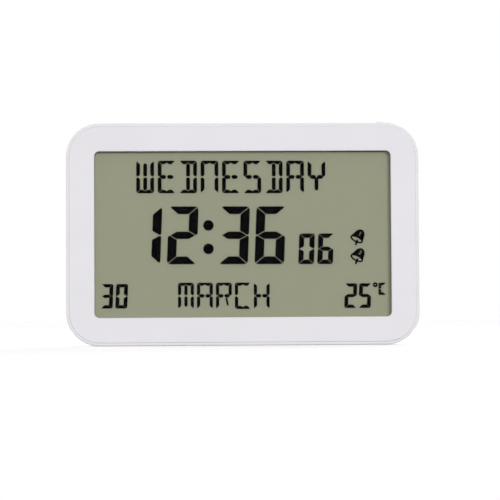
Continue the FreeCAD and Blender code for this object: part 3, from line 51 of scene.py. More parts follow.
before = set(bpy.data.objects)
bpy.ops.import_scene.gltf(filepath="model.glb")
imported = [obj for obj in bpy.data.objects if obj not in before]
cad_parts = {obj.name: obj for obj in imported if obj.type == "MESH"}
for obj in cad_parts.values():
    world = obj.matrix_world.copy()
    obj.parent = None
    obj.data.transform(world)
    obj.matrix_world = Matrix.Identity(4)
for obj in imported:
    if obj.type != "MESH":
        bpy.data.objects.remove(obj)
CAD_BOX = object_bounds()

import math

import bmesh
import bpy
from bpy.props import FloatProperty, FloatVectorProperty, PointerProperty, StringProperty
from bpy.types import Node, Operator, Panel, PropertyGroup, Scene
from mathutils import Matrix, Vector


# ---- Units, colours and properties ----
def mm(size):
    """Millimetres as metres."""
    return size / 1000


def linear(colour):
    """An sRGB hex colour as linear red, green, blue and alpha."""
    channels = [int(colour.lstrip("#")[i:i + 2], 16) / 255 for i in (0, 2, 4)]
    return tuple(c / 12.92 if c <= 0.04045 else ((c + 0.055) / 1.055) ** 2.4 for c in channels) + (1.0,)


def length(name, size, description):
    """A length that a user may change, with its default in millimetres."""
    return FloatProperty(name=name, description=description, default=mm(size), unit="LENGTH",
                         precision=5, step=1)


def hex_colour(name, colour, description):
    """A colour that a user may change, as sRGB hex."""
    return StringProperty(name=name, description=description, default=colour)


def angle(name, degrees, description):
    """An angle that a user may change, with its default in degrees."""
    return FloatProperty(name=name, description=description, default=math.radians(degrees),
                         subtype="ANGLE", unit="ROTATION")


def row_sizes(text, start, pitch, width, height, middle, upright, bar, gap):
    """What every row of the display has: its text, and its sizes with their defaults in millimetres."""
    return {
        "text": StringProperty(name="Text", description="Characters shown", default=text),
        "start": length("Start", start, "Left side of the first letter, or right side of the first digit"),
        "pitch": length("Pitch", pitch, "From one character to the next"),
        "width": length("Width", width, "Width of a character"),
        "height": length("Height", height, "Height of a character"),
        "middle": length("Middle", middle, "Middle of the row above the display's centre"),
        "upright": length("Upright", upright, "Width of the upright bars"),
        "bar": length("Bar", bar, "Height of the level bars"),
        "gap": length("Gap", gap, "Clear line between two bars"),
    }


class WeekdayRow(PropertyGroup):
    """Row of star-burst cells at the top of the display."""
    __annotations__ = row_sizes("WEDNESDAY", start=-60.45, pitch=12.17, width=10.1, height=18.55,
                                middle=32.65, upright=2.19, bar=2.06, gap=0.16)


class MonthRow(PropertyGroup):
    """Row of star-burst cells at the foot of the display."""
    __annotations__ = row_sizes("MARCH", start=-36.85, pitch=10.74, width=9.0, height=14.95,
                                middle=-34.87, upright=1.86, bar=1.84, gap=0.12)


class TimeRow(PropertyGroup):
    """Large seven-bar digits for hours and minutes."""
    __annotations__ = row_sizes("12:36", start=-46.25, pitch=20.55, width=16.85, height=32.85,
                                middle=-0.54, upright=5.22, bar=4.42, gap=0.32)
    colon: length("Colon room", 8.6, "Extra room for the colon")
    colon_drop: length("Colon drop", 1.03, "Middle of the colon below the middle of the row")
    dot: length("Dot", 6.0, "Diameter of a colon dot")
    dot_spacing: length("Dot spacing", 13.35, "Between the two dots of the colon")


class SecondsRow(PropertyGroup):
    """Small seven-bar digits for the seconds."""
    __annotations__ = row_sizes("06", start=40.65, pitch=10.83, width=8.95, height=17.45,
                                middle=-8.28, upright=2.96, bar=2.58, gap=0.18)


class DateRow(PropertyGroup):
    """Seven-bar digits for the day of the month."""
    __annotations__ = row_sizes("30", start=-73.55, pitch=8.25, width=6.75, height=13.85,
                                middle=-35.0, upright=2.2, bar=1.92, gap=0.06)


class TemperatureRow(PropertyGroup):
    """Seven-bar digits for the room's temperature, with the degree sign and the letter C."""
    __annotations__ = row_sizes("25", start=64.68, pitch=8.1, width=6.95, height=14.0,
                                middle=-34.93, upright=2.2, bar=1.95, gap=0.06)
    ring_x: length("Ring x", 75.22, "Centre of the degree ring across the display")
    ring_z: length("Ring z", -28.78, "Centre of the degree ring above the display's centre")
    ring: length("Ring", 2.75, "Outer diameter of the degree ring")
    unit_left: length("Letter left", 76.98, "Left side of the letter C")
    unit_top: length("Letter top", -27.66, "Top of the letter C")
    unit_width: length("Letter width", 3.95, "Width of the letter C")
    unit_height: length("Letter height", 6.9, "Height of the letter C")


class AlarmBells(PropertyGroup):
    """Two tilted bells, numbered 1 and 2."""
    across: length("Across", 64.72, "Middle of the bells' mouths across the display")
    first: length("First", -2.86, "Middle of the first bell's mouth above the display's centre")
    pitch: length("Pitch", 10.7, "From the first bell to the second")
    mouth: length("Mouth", 7.9, "Width of the mouth")
    tall: length("Height", 6.2, "From the mouth to the crown")
    rim: length("Rim", 0.93, "Width of the mouth's rim")
    tilt: angle("Tilt", 33, "How far the bell leans over")


class KeyInk(PropertyGroup):
    """Symbols printed on the keys."""
    height: length("Height", 3.0, "Height of a symbol")
    thickness: length("Thickness", 0.03, "Thickness of the ink")


class Finish(PropertyGroup):
    """Colours of the clock's materials."""
    case: hex_colour("Case", "#E4E2E6", "Moulded white of the case and bezel")
    keys: hex_colour("Keys", "#DFDEE1", "Moulded white of the keys")
    symbols: hex_colour("Symbols", "#6E7076", "Printed grey of the key symbols")
    reflector: hex_colour("Reflector", "#9F9C8A", "Grey-green film behind the liquid crystal")
    segments: hex_colour("Segments", "#060507", "Liquid crystal where it is dark")


class Studio(PropertyGroup):
    """Camera and light."""
    distance: length("Distance", 1000, "From the camera to the point that it looks at")
    aim: FloatVectorProperty(name="Aim", description="Point that the camera looks at", size=3,
                             default=(mm(3.86), mm(-13), mm(53.92)), subtype="TRANSLATION", unit="LENGTH")
    lens: FloatProperty(name="Lens", description="Focal length on a 36 mm sensor", default=127.36,
                        unit="CAMERA")
    yaw: angle("Yaw", 1.78, "Camera to the left of the display's normal")
    pitch: angle("Pitch", 2.04, "Camera below the display's normal")
    roll: angle("Roll", 0.337, "Turn of the camera about its own axis")
    ambient: FloatProperty(name="Ambient", description="Strength of the even light", default=0.3)


class DayClock(PropertyGroup):
    """Everything that a user may change."""
    turn: angle("Glass turn", 0.18, "How far the glass is set askew, clockwise as it is read")
    weekday: PointerProperty(type=WeekdayRow, name="Weekday")
    time: PointerProperty(type=TimeRow, name="Time")
    seconds: PointerProperty(type=SecondsRow, name="Seconds")
    date: PointerProperty(type=DateRow, name="Date")
    month: PointerProperty(type=MonthRow, name="Month")
    temperature: PointerProperty(type=TemperatureRow, name="Temperature")
    bells: PointerProperty(type=AlarmBells, name="Bells")
    ink: PointerProperty(type=KeyInk, name="Key ink")
    finish: PointerProperty(type=Finish, name="Finish")
    studio: PointerProperty(type=Studio, name="Studio")


# ---- Places on the model ----
SCREEN = sum(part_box("display_window"), Vector()) / 2    # centre of the display
CELL_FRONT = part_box("display_front_glass")[1].y         # the liquid crystal lies
CELL_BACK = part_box("display_rear_glass")[0].y           # between the two glasses
SEGMENT_Y = (CELL_FRONT + CELL_BACK) / 2
SEGMENT_DEPTH = (CELL_BACK - CELL_FRONT) * 0.7          # clear of both glasses
FACING_READER = (math.pi / 2, 0, 0)                     # turns what lies flat up to face the reader
CLOSE = mm(0.02)                                        # two places this near are the same place
TINY = 1e-8                                             # a cut this near to a corner goes through it
DISC_SIDES = 40


# ---- Modelling helpers ----
def activate(*pieces):
    """Select these pieces alone, the first of them active."""
    bpy.ops.object.select_all(action="DESELECT")
    for piece in pieces:
        piece.select_set(True)
    bpy.context.view_layer.objects.active = pieces[0]


def settle():
    """Put the place, turn and size of the selected pieces in their meshes."""
    bpy.ops.object.transform_apply(location=True, rotation=True, scale=True)


def placed(name, add, **options):
    """What an add operator makes, under its name and selected alone."""
    bpy.ops.object.select_all(action="DESELECT")
    add(**options)
    made = bpy.context.active_object
    made.name = made.data.name = name
    return made


def added(name, primitive, **options):
    """A new primitive, with its place, turn and size in its mesh."""
    piece = placed(name, primitive, **options)
    settle()
    return piece


def choose(piece, kind, test):
    """In edit mode, select only the vertices or faces that pass a test."""
    bpy.ops.mesh.select_all(action="DESELECT")
    bpy.ops.mesh.select_mode(type=kind)
    mesh = bmesh.from_edit_mesh(piece.data)
    for item in {"VERT": mesh.verts, "FACE": mesh.faces}[kind]:
        if test(item):
            item.select_set(True)
    bmesh.update_edit_mesh(piece.data)


def bar(name, corners, y=SEGMENT_Y, depth=SEGMENT_DEPTH, notch=None):
    """Solid with a convex outline, cut from a blank one side at a time.

    corners run anticlockwise as the display is read, and notch is a nick in a level side: its middle,
    half width, edge height and depth.
    """
    across, up = zip(*corners)
    low, high = (Vector((pick(across), y, pick(up))) for pick in (min, max))
    blank = max(high - low) * 1.2    # square, and larger than the outline
    piece = added(name, bpy.ops.mesh.primitive_cube_add, size=1, scale=(blank, depth, blank),
                  location=(low + high) / 2)
    bpy.ops.object.mode_set(mode="EDIT")
    for start, end in zip(corners, corners[1:] + corners[:1]):
        bpy.ops.mesh.select_all(action="SELECT")
        bpy.ops.mesh.bisect(plane_co=(start[0], y, start[1]),
                            plane_no=Vector((end[1] - start[1], 0, start[0] - end[0])).normalized(),
                            use_fill=True, clear_outer=True, threshold=TINY)
    if notch:
        middle, half, edge, nick = notch
        for place in (middle - half, middle, middle + half):
            bpy.ops.mesh.select_all(action="SELECT")
            bpy.ops.mesh.bisect(plane_co=(place, y, edge), plane_no=(1, 0, 0), threshold=TINY)
        choose(piece, "VERT", lambda v: abs(v.co.x - middle) < CLOSE and abs(v.co.z - edge) < CLOSE)
        bpy.ops.transform.translate(value=(0, 0, nick))
    bpy.ops.object.mode_set(mode="OBJECT")
    return piece


def disc(name, x, z, width, height=None, y=SEGMENT_Y, depth=SEGMENT_DEPTH, rim=0.0):
    """Flat disc or ellipse that faces the reader, filled or, where it has a rim, open inside it."""
    piece = added(name, bpy.ops.mesh.primitive_cylinder_add, vertices=DISC_SIDES, radius=width / 2,
                  depth=depth, location=(x, y, z), rotation=FACING_READER)
    bpy.ops.object.mode_set(mode="EDIT")
    bpy.ops.mesh.select_all(action="SELECT")
    bpy.ops.transform.resize(value=(1, 1, (height or width) / width), center_override=(x, y, z))
    if rim:
        choose(piece, "FACE", lambda f: abs(f.normal.y) > 0.9)
        bpy.ops.mesh.inset(thickness=rim)
        bpy.ops.mesh.bridge_edge_loops()
    bpy.ops.object.mode_set(mode="OBJECT")
    return piece


def askew(piece, degrees):
    """Turn a piece about the origin as the display is read, clockwise in degrees."""
    piece.rotation_euler = (0, math.radians(degrees), 0)
    activate(piece)
    settle()
    return piece


def twin(piece, x, z):
    """Copy of a piece with its own mesh, moved across and up."""
    activate(piece)
    bpy.ops.object.duplicate(linked=False)
    copy = bpy.context.active_object
    copy.location = (x, 0, z)
    return copy


def joined(name, pieces, body, material):
    """One piece from several, with its place in its mesh and its finish on."""
    activate(*pieces)
    if len(pieces) > 1:
        bpy.ops.object.join()
    settle()
    piece = pieces[0]
    piece.name = piece.data.name = name
    piece.data.materials.clear()
    piece.data.materials.append(material)
    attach(piece, body)
    return piece


def discard(pieces):
    """Remove the patterns that copies were made from."""
    for piece in pieces:
        bpy.data.objects.remove(piece, do_unlink=True)


# ---- Display cells ----
# Bars of a seven-bar digit: top, right upper, right lower, foot, left lower, left upper, middle.
DIGITS = {"0": "abcdef", "1": "bc", "2": "abged", "3": "abgcd", "4": "fgbc", "5": "afgcd", "6": "afedcg",
          "7": "abc", "8": "abcdefg", "9": "abcdfg"}
# Bars of a star-burst cell: the same outer six, the two halves of the middle (m n), the centre
# uprights (i l) and the slanting leg (k).
LETTERS = {
    "A": "abcefmn", "B": "abcdiln", "C": "adef", "D": "abcdil", "E": "adefmn", "F": "aefmn", "G": "acdefn",
    "H": "bcefmn", "I": "adil", "J": "bcde", "L": "def", "M": "abcefil", "N": "abcef", "O": "abcdef",
    "P": "abefmn", "R": "abefmnk", "S": "acdfmn", "T": "ail", "U": "bcdef", "V": "bcdef", "W": "bcdefil",
    "Y": "bfmnl",
}
# Half of a star-burst cell's middle bar: a leaf with a full end towards the centre, as shares of its
# half length and of its swell. The leg's foot is in shares of the cell's width and half height.
LEAF = ((-1, 0), (-0.5, -0.86), (-0.1, -1), (0.4, -1), (0.8, -0.7), (1, 0), (0.8, 0.7), (0.4, 1),
        (-0.1, 1), (-0.5, 0.86))
LEG_FOOT = ((0.69, -0.70), (0.74, -0.77), (0.805, -0.70))


def across_cell(corners, width):
    """Corners mirrored from one side of a cell to the other, still anticlockwise."""
    return [(width - x, z) for x, z in reversed(corners)]


def turned_down(corners):
    """Corners mirrored from the top of a cell to its foot, still anticlockwise."""
    return [(x, -z) for x, z in reversed(corners)]


def outer_six(cap, side, width):
    """A cell's outer six bars, from its cap and its upper right side."""
    lower = turned_down(side)
    return {"a": cap, "b": side, "c": lower, "d": turned_down(cap), "e": across_cell(lower, width),
            "f": across_cell(side, width)}


def outer_corner(row, right, radius):
    """Where the cap and the side of a row's cell meet at its upper right corner.

    The corner is an arc, and a clear line runs across it from the tip to the inner corner. Returns
    the cap's and the side's points from the inner corner outwards.
    """
    top, upright, level, half_gap = row.height / 2, row.upright, row.bar, row.gap / 2
    across, up = Vector((-upright, -level)).normalized()
    reach = radius * (-across - up - math.sqrt(2 * across * up))    # along the line, tip to arc
    meet = Vector((right, top)) + Vector((across, up)) * reach
    aside = Vector((up, -across)) * half_gap                        # from the line to the cap

    def on_arc(*degrees):
        return [(right + radius * (math.cos(turn) - 1), top + radius * (math.sin(turn) - 1))
                for turn in map(math.radians, degrees)]

    cap = [(right - upright + half_gap / up, top - level), tuple(meet + aside)]
    side = [(right - upright, top - level + half_gap / across), tuple(meet - aside)]
    return cap + on_arc(68, 90), side + on_arc(20, 0)


def letter_bars(row):
    """The bars of one star-burst cell, whose left side is at x 0 and whose middle is at z 0."""
    width, top, upright, level = row.width, row.height / 2, row.upright, row.bar
    centre = width / 2
    waist = mm(0.36)                              # where the halves stop short of the middle
    heel, toe = upright * 0.22, upright * 0.45    # cuts at a side's lower end, outer and inner
    cap, side = outer_corner(row, width, level * 0.72)
    cap += across_cell(cap, width)
    side = [(width, waist + heel)] + side[::-1] + [
        (width - upright, waist + toe), (width - upright + toe, waist), (width - heel, waist)]

    nick, nick_half = level * 0.42, level * 0.68  # the cap's nick, over the centre upright
    stem, point = upright * 0.5, top - level + nick - row.gap    # the upright's half width and tip
    spine = [(centre + stem - heel, waist), (centre + stem, waist + heel), (centre + stem, point - stem),
             (centre + stem * 0.35, point - stem * 0.2)]
    spine += across_cell(spine, width)

    hip = -level * 0.64                           # the leg's upper end, under the middle bars
    leg = [(width * x, top * z) for x, z in LEG_FOOT] + [(width * 0.72, hip), (width * 0.585, hip)]
    middle, half, swell = centre - width * 0.212, width * 0.19, level * 0.56    # of the left leaf
    leaf = [(middle + half * x, swell * z) for x, z in LEAF]

    shapes = {**outer_six(cap, side, width), "i": spine, "l": turned_down(spine), "k": leg, "m": leaf,
              "n": across_cell(leaf, width)}
    notches = {"a": (centre, nick_half, top - level, nick), "d": (centre, nick_half, level - top, -nick)}
    return {key: bar(f"bar_{key}", corners, notch=notches.get(key)) for key, corners in shapes.items()}


def digit_bars(row, lean=math.radians(2.2), slope=math.radians(31)):
    """The bars of one seven-bar digit, whose right side is at x 0 at half its height, z 0.

    lean tips the digit over to the right, and slope is that of the sides' ends at the middle.
    """
    width, upright, level, gap = row.width, row.upright, row.bar, row.gap
    cap, side = outer_corner(row, 0, level * 0.53)
    cap += across_cell(cap, -width)
    tip_in, tip_up = upright * 0.24, upright * 0.04 + gap * 0.15      # a side's lowest point
    side = [(0, upright * 0.21)] + side[::-1] + [
        (-upright, tip_up + (upright - tip_in) * math.tan(slope)), (-tip_in, tip_up),
        (-upright * 0.1, tip_up + upright * 0.02)]
    # The middle bar's ends run along the sides' ends, a clear line away from them.
    half = level * 0.475
    tip = tip_in + (gap / math.cos(slope) - tip_up) / math.tan(slope)
    reach = half / math.tan(slope)
    belt = [(-tip - reach, -half), (-tip, 0), (-tip - reach, half)]
    belt += across_cell(belt, -width)
    return {key: bar(f"bar_{key}", [(x + z * math.tan(lean), z) for x, z in corners])
            for key, corners in {**outer_six(cap, side, -width), "g": belt}.items()}


def written(row, text, bars, places, keys):
    """Copies of a cell's bars that write a text, with each cell at its own place across."""
    copies = []
    for character, place in zip(text, places):
        if character not in keys:
            raise RuntimeError(f"the display's cells can't show {character!r}")
        copies += [twin(bars[key], SCREEN.x + place, SCREEN.z + row.middle) for key in keys[character]]
    discard(bars.values())
    return copies


def letter_row(row):
    """The pieces of a row of letters."""
    places = [row.start + count * row.pitch for count in range(len(row.text))]
    return written(row, row.text, letter_bars(row), places, LETTERS)


def digit_row(row, colon_room=0.0):
    """The pieces of a row of digits, and where its colon stands, if it has one."""
    digits, places, place, colon = [], [], row.start, None
    for character in row.text:
        if character == ":":
            colon = place - row.pitch
            place += colon_room
        else:
            digits.append(character)
            places.append(place)
            place += row.pitch
    return written(row, digits, digit_bars(row), places, DIGITS), colon


class SegmentOperator:
    """What the operators for the display's rows share."""

    def show(self, name, pieces):
        """Make one piece of a row. It casts no shadow: the reflector lies almost against it."""
        row = joined(name, pieces, "clock", liquid_crystal())
        row.visible_shadow = False
        activate(row)
        bpy.ops.transform.rotate(value=-bpy.context.scene.day_clock.turn, orient_axis="Y",
                                 center_override=SCREEN)
        settle()
        return {"FINISHED"}


class DAYCLOCK_OT_weekday(SegmentOperator, Operator):
    """Model the weekday's letters in the liquid crystal"""
    bl_idname = "day_clock.weekday"
    bl_label = "Weekday"

    def execute(self, context):
        return self.show("weekday_segments", letter_row(context.scene.day_clock.weekday))


class DAYCLOCK_OT_month(SegmentOperator, Operator):
    """Model the month's letters in the liquid crystal"""
    bl_idname = "day_clock.month"
    bl_label = "Month"

    def execute(self, context):
        return self.show("month_segments", letter_row(context.scene.day_clock.month))


class DAYCLOCK_OT_time(SegmentOperator, Operator):
    """Model the hours, the colon and the minutes in the liquid crystal"""
    bl_idname = "day_clock.time"
    bl_label = "Time"

    def execute(self, context):
        row = context.scene.day_clock.time
        pieces, colon = digit_row(row, row.colon)
        if colon is not None:
            x = SCREEN.x + colon + (row.colon + row.pitch - row.width) / 2
            middle = SCREEN.z + row.middle - row.colon_drop
            for z in (row.dot_spacing / 2, -row.dot_spacing / 2):
                pieces.append(disc("colon", x, middle + z, row.dot))
        return self.show("time_segments", pieces)


class DAYCLOCK_OT_seconds(SegmentOperator, Operator):
    """Model the seconds in the liquid crystal"""
    bl_idname = "day_clock.seconds"
    bl_label = "Seconds"

    def execute(self, context):
        return self.show("seconds_segments", digit_row(context.scene.day_clock.seconds)[0])


class DAYCLOCK_OT_date(SegmentOperator, Operator):
    """Model the day of the month in the liquid crystal"""
    bl_idname = "day_clock.date"
    bl_label = "Date"

    def execute(self, context):
        return self.show("date_segments", digit_row(context.scene.day_clock.date)[0])


class DAYCLOCK_OT_temperature(SegmentOperator, Operator):
    """Model the temperature, the degree ring and the letter C in the liquid crystal"""
    bl_idname = "day_clock.temperature"
    bl_label = "Temperature"

    def execute(self, context):
        row = context.scene.day_clock.temperature
        rim = row.ring * 0.37    # leaves a hole of about a quarter of the ring's width
        ring = disc("ring", SCREEN.x + row.ring_x, SCREEN.z + row.ring_z, row.ring, rim=rim)
        return self.show("temperature_segments", digit_row(row)[0] + [ring] + self.unit(row))

    def unit(self, row):
        """The letter C: a cap and a side, and both again turned down."""
        left, top = SCREEN.x + row.unit_left, SCREEN.z + row.unit_top
        width, tall = row.unit_width, row.unit_height
        stem, level, split = width * 0.43, tall * 0.215, tall * 0.02    # split is half the sides' gap
        tip_in, tip_down, cut = level * 0.9, level * 0.25, level * 0.35
        cap = [(0, -level), (width - tip_in, -level), (width, -tip_down), (width, 0), (cut, 0), (0, -cut)]
        side = [(0, split - tall / 2), (stem * 0.55, split - tall / 2), (stem, split * 3 - tall / 2),
                (stem, -level * 1.05), (0, -level * 1.05)]
        pieces = []
        for name, corners in (("unit_cap", cap), ("unit_side", side)):
            pieces.append(bar(name, [(left + x, top + z) for x, z in corners]))
            pieces.append(bar(name, [(left + x, top - tall + z) for x, z in turned_down(corners)]))
        return pieces


# A bell's outline from its mouth to its crown: shares of its height, and half widths as shares of
# its mouth.
DOME = ((0.0, 0.49), (0.08, 0.47), (0.20, 0.435), (0.45, 0.385), (0.67, 0.34), (0.80, 0.285),
        (0.90, 0.20), (0.97, 0.11), (1.0, 0.05))


class DAYCLOCK_OT_bells(SegmentOperator, Operator):
    """Model the two numbered alarm bells in the liquid crystal"""
    bl_idname = "day_clock.bells"
    bl_label = "Alarm bells"

    def execute(self, context):
        row = context.scene.day_clock.bells
        pieces = []
        for count, number in enumerate("12"):
            piece = self.bell(number, row)
            piece.rotation_euler = (0, row.tilt, 0)
            piece.location = (SCREEN.x + row.across, 0, SCREEN.z + row.first - count * row.pitch)
            pieces.append(piece)
        return self.show("alarm_bells", pieces)

    def bell(self, number, row):
        """Bell that stands on its mouth's middle at the origin: a filled dome with its number left
        clear, a clear mouth with an even rim, and a clapper that hangs askew."""
        mouth, rim, flat = row.mouth, row.rim, row.mouth * 0.47
        mouth_turn, clapper_turn = -7, -12                # degrees
        reach, half, root = mm(3.3), mm(0.55), mm(0.1)    # the clapper's length, half width and top
        dome = self.dome(mouth, row.tall)
        hole = askew(disc("mouth_hole", 0, 0, mouth - 2 * rim, flat - 2 * rim, depth=SEGMENT_DEPTH * 3),
                     mouth_turn)
        cutters = [hole, self.numeral(number, row.tall)]
        activate(dome)
        for cutter in cutters:
            cut = dome.modifiers.new("cut", "BOOLEAN")
            cut.operation, cut.solver, cut.object = "DIFFERENCE", "EXACT", cutter
            bpy.ops.object.modifier_apply(modifier=cut.name)
        discard(cutters)
        ring = askew(disc("mouth_rim", 0, 0, mouth, flat, rim=rim), mouth_turn)
        clapper = askew(bar("clapper", [(-half, -reach), (half, -reach), (half, root), (-half, root)]),
                        clapper_turn)
        clapper.location.x = mm(0.6)
        activate(dome, ring, clapper)
        bpy.ops.object.join()
        return dome

    def dome(self, mouth, tall):
        """A bell's filled outline, extruded upwards step by step."""
        foot, first = DOME[0][1], DOME[1][0]
        piece = added("dome", bpy.ops.mesh.primitive_cube_add, size=1,
                      location=(0, SEGMENT_Y, tall * first / 2),
                      scale=(mouth * foot * 2, SEGMENT_DEPTH, tall * first))
        bpy.ops.object.mode_set(mode="EDIT")
        for (low, before), (high, after) in zip(DOME, DOME[1:]):
            crown = tall * (low or high)
            choose(piece, "FACE",
                   lambda f: f.normal.z > 0.9 and abs(f.calc_center_median().z - crown) < CLOSE)
            if low:
                step = (0, 0, tall * (high - low))
                bpy.ops.mesh.extrude_region_move(TRANSFORM_OT_translate={"value": step})
            bpy.ops.transform.resize(value=(after / before, 1, 1),
                                     center_override=(0, SEGMENT_Y, tall * high))
        bpy.ops.object.mode_set(mode="OBJECT")
        return piece

    def numeral(self, number, tall):
        """A bell's number as a solid, to be cut out of its dome."""
        text = placed("number", bpy.ops.object.text_add, location=(0, SEGMENT_Y, tall * 0.42),
                      rotation=FACING_READER).data
        text.body, text.size, text.extrude, text.align_x = number, tall * 0.5, SEGMENT_DEPTH * 1.5, "CENTER"
        bpy.ops.object.convert(target="MESH")
        return bpy.context.active_object


# ---- Materials ----
def node(tree, kind, settings=None, **links):
    """Add a shader node, with its settings or socket values by name, and link others to it.

    A link is named for its socket, with _ for a space or before a socket's number, and comes from a
    socket or from a node's first output.
    """
    made = tree.nodes.new(kind)
    for name, setting in (settings or {}).items():
        if isinstance(name, int) or name in made.inputs:
            made.inputs[name].default_value = setting
        else:
            setattr(made, name, setting)
    for name, source in links.items():
        target = made.inputs[int(name[1:]) if name[0] == "_" else name.replace("_", " ")]
        tree.links.new(source.outputs[0] if isinstance(source, Node) else source, target)
    return made


def begin(name):
    """A new material, its empty node tree and its Object coordinates."""
    material = bpy.data.materials.new(name)
    material.use_nodes = True
    tree = material.node_tree
    tree.nodes.clear()
    return material, tree, node(tree, "ShaderNodeTexCoord").outputs["Object"]


def close(material, kind, settings=None, **links):
    """The material, with its last shader node added and linked to its output."""
    tree = material.node_tree
    node(tree, "ShaderNodeOutputMaterial", Surface=node(tree, kind, settings, **links))
    return material


def per_metre(size):
    """Noise scale whose features are about this many millimetres apart."""
    return 1 / mm(size)


def set_stops(ramp, *stops, interpolation="LINEAR"):
    """Give a colour ramp's node its stops, as positions with linear colours."""
    ramp.color_ramp.interpolation = interpolation
    elements = ramp.color_ramp.elements
    for element, (position, colour) in zip(elements, stops):
        element.position, element.color = position, colour
    for position, colour in stops[len(elements):]:
        elements.new(position).color = colour
    return ramp


def varied(tree, place, colour, amount, size):
    """A colour that drifts a little lighter and darker over features of a size in millimetres."""
    noise = node(tree, "ShaderNodeTexNoise", {"Scale": per_metre(size), "Detail": 3.0}, Vector=place)
    dark, light = ((*[min(1, channel * share) for channel in linear(colour)[:3]], 1)
                   for share in (1 - amount, 1 + amount))
    return set_stops(node(tree, "ShaderNodeValToRGB", Fac=noise), (0.3, dark), (0.7, light))


def uneven(tree, place, low, high, size):
    """A roughness that drifts from low to high over features of a size in millimetres."""
    noise = node(tree, "ShaderNodeTexNoise", {"Scale": per_metre(size), "Detail": 2.0}, Vector=place)
    return node(tree, "ShaderNodeMapRange", {"To Min": low, "To Max": high}, Value=noise)


def moulded(name, colour, roughness, grain, height):
    """Injection-moulded plastic: a spark-eroded grain of a size and height in millimetres, and a
    colour and a gloss that drift a little as the melt flowed."""
    mottle, mottle_size = 0.012, 22    # drift of the colour, and its size in millimetres
    spread, spread_size = 0.05, 9      # the same of the roughness
    material, tree, place = begin(name)
    fine = node(tree, "ShaderNodeTexNoise", {"Scale": per_metre(grain), "Detail": 2.0, "Roughness": 0.6},
                Vector=place)
    bump = node(tree, "ShaderNodeBump", {"Strength": 0.35, "Distance": mm(height)}, Height=fine)
    gloss = uneven(tree, place, roughness - spread, roughness + spread, spread_size)
    return close(material, "ShaderNodeBsdfPrincipled", {"IOR": 1.53}, Roughness=gloss, Normal=bump,
                 Base_Color=varied(tree, place, colour, mottle, mottle_size))


def metal(name, colour, roughness, grain, stretch):
    """Plated or rolled metal, whose fine marks run along the axes on which stretch is smallest."""
    material, tree, place = begin(name)
    turned = node(tree, "ShaderNodeMapping", {"Scale": stretch}, Vector=place)
    marks = node(tree, "ShaderNodeTexNoise", {"Scale": per_metre(grain), "Detail": 4.0}, Vector=turned)
    gloss = node(tree, "ShaderNodeMapRange", {"To Min": roughness * 0.7, "To Max": roughness * 1.4},
                 Value=marks)
    bump = node(tree, "ShaderNodeBump", {"Strength": 0.15, "Distance": mm(0.02)}, Height=marks)
    return close(material, "ShaderNodeBsdfPrincipled", {"Metallic": 1.0}, Roughness=gloss, Normal=bump,
                 Base_Color=varied(tree, place, colour, 0.03, 5))


def clear(name, tint, ior, roughness):
    """Clear sheet: what lies behind shows through straight, with a reflection from the outer face
    that softens and sharpens a little where the sheet was wiped."""
    wipe = 14    # width of a wiped stroke in millimetres
    material, tree, place = begin(name)
    through = node(tree, "ShaderNodeBsdfTransparent", {"Color": linear(tint)})
    shine = node(tree, "ShaderNodeBsdfAnisotropic", {"Color": (1, 1, 1, 1)},
                 Roughness=uneven(tree, place, roughness * 0.6, roughness * 1.4, wipe))
    fresnel = node(tree, "ShaderNodeFresnel", {"IOR": ior})
    inner = node(tree, "ShaderNodeNewGeometry").outputs["Backfacing"]
    outer = node(tree, "ShaderNodeMath", {"operation": "SUBTRACT", 0: 1.0}, _1=inner)
    share = node(tree, "ShaderNodeMath", {"operation": "MULTIPLY"}, _0=fresnel, _1=outer)
    return close(material, "ShaderNodeMixShader", _0=share, _1=through, _2=shine)


def liquid_crystal():
    """Liquid crystal where a bar is switched on: it soaks up nearly all light behind its glass."""
    if "dark_liquid_crystal" in bpy.data.materials:
        return bpy.data.materials["dark_liquid_crystal"]
    material, tree, place = begin("dark_liquid_crystal")
    colour = bpy.context.scene.day_clock.finish.segments
    return close(material, "ShaderNodeBsdfPrincipled", {"Roughness": 0.8, "Specular IOR Level": 0.0},
                 Base_Color=varied(tree, place, colour, 0.08, 6))


def pearl_film(colour):
    """Pearl-filled film laminated to a polariser: matte, with a faint grain that is drawn at 0.6 mm,
    coarser than the real flakes, so that it shows at all."""
    material, tree, place = begin("pearl_reflector_film")
    return close(material, "ShaderNodeBsdfPrincipled", {"Roughness": 0.75, "Specular IOR Level": 0.1},
                 Base_Color=varied(tree, place, colour, 0.02, 0.6))


def cut_foam():
    """Polyurethane foam cut from a sheet: dull charcoal, with open pits a third of a millimetre wide."""
    material, tree, place = begin("polyurethane_foam")
    cells = node(tree, "ShaderNodeTexVoronoi", {"Scale": per_metre(0.35)}, Vector=place)
    bump = node(tree, "ShaderNodeBump", {"Strength": 0.8, "Distance": mm(0.1)}, Height=cells)
    return close(material, "ShaderNodeBsdfPrincipled", {"Roughness": 0.95}, Normal=bump,
                 Base_Color=varied(tree, place, "#3A3B3D", 0.15, 1.5))


def striped_silicone():
    """Layered silicone: black conducting stripes in pink. They are really 0.1 mm wide, too fine to
    show, and drawn about 1.6 mm wide."""
    stripe = math.pi / 2            # millimetres
    repeats = 20 / (2 * math.pi)    # of a wave texture over a length of 1, at a scale of 1
    material, tree, place = begin("striped_silicone")
    stripes = node(tree, "ShaderNodeTexWave", {"Scale": per_metre(2 * stripe) / repeats,
                                               "Distortion": 0.2}, Vector=place)
    colour = set_stops(node(tree, "ShaderNodeValToRGB", Fac=stripes.outputs["Fac"]),
                       (0.45, linear("#1D1D1F")), (0.55, linear("#C46A73")))
    return close(material, "ShaderNodeBsdfPrincipled", {"Roughness": 0.6}, Base_Color=colour)


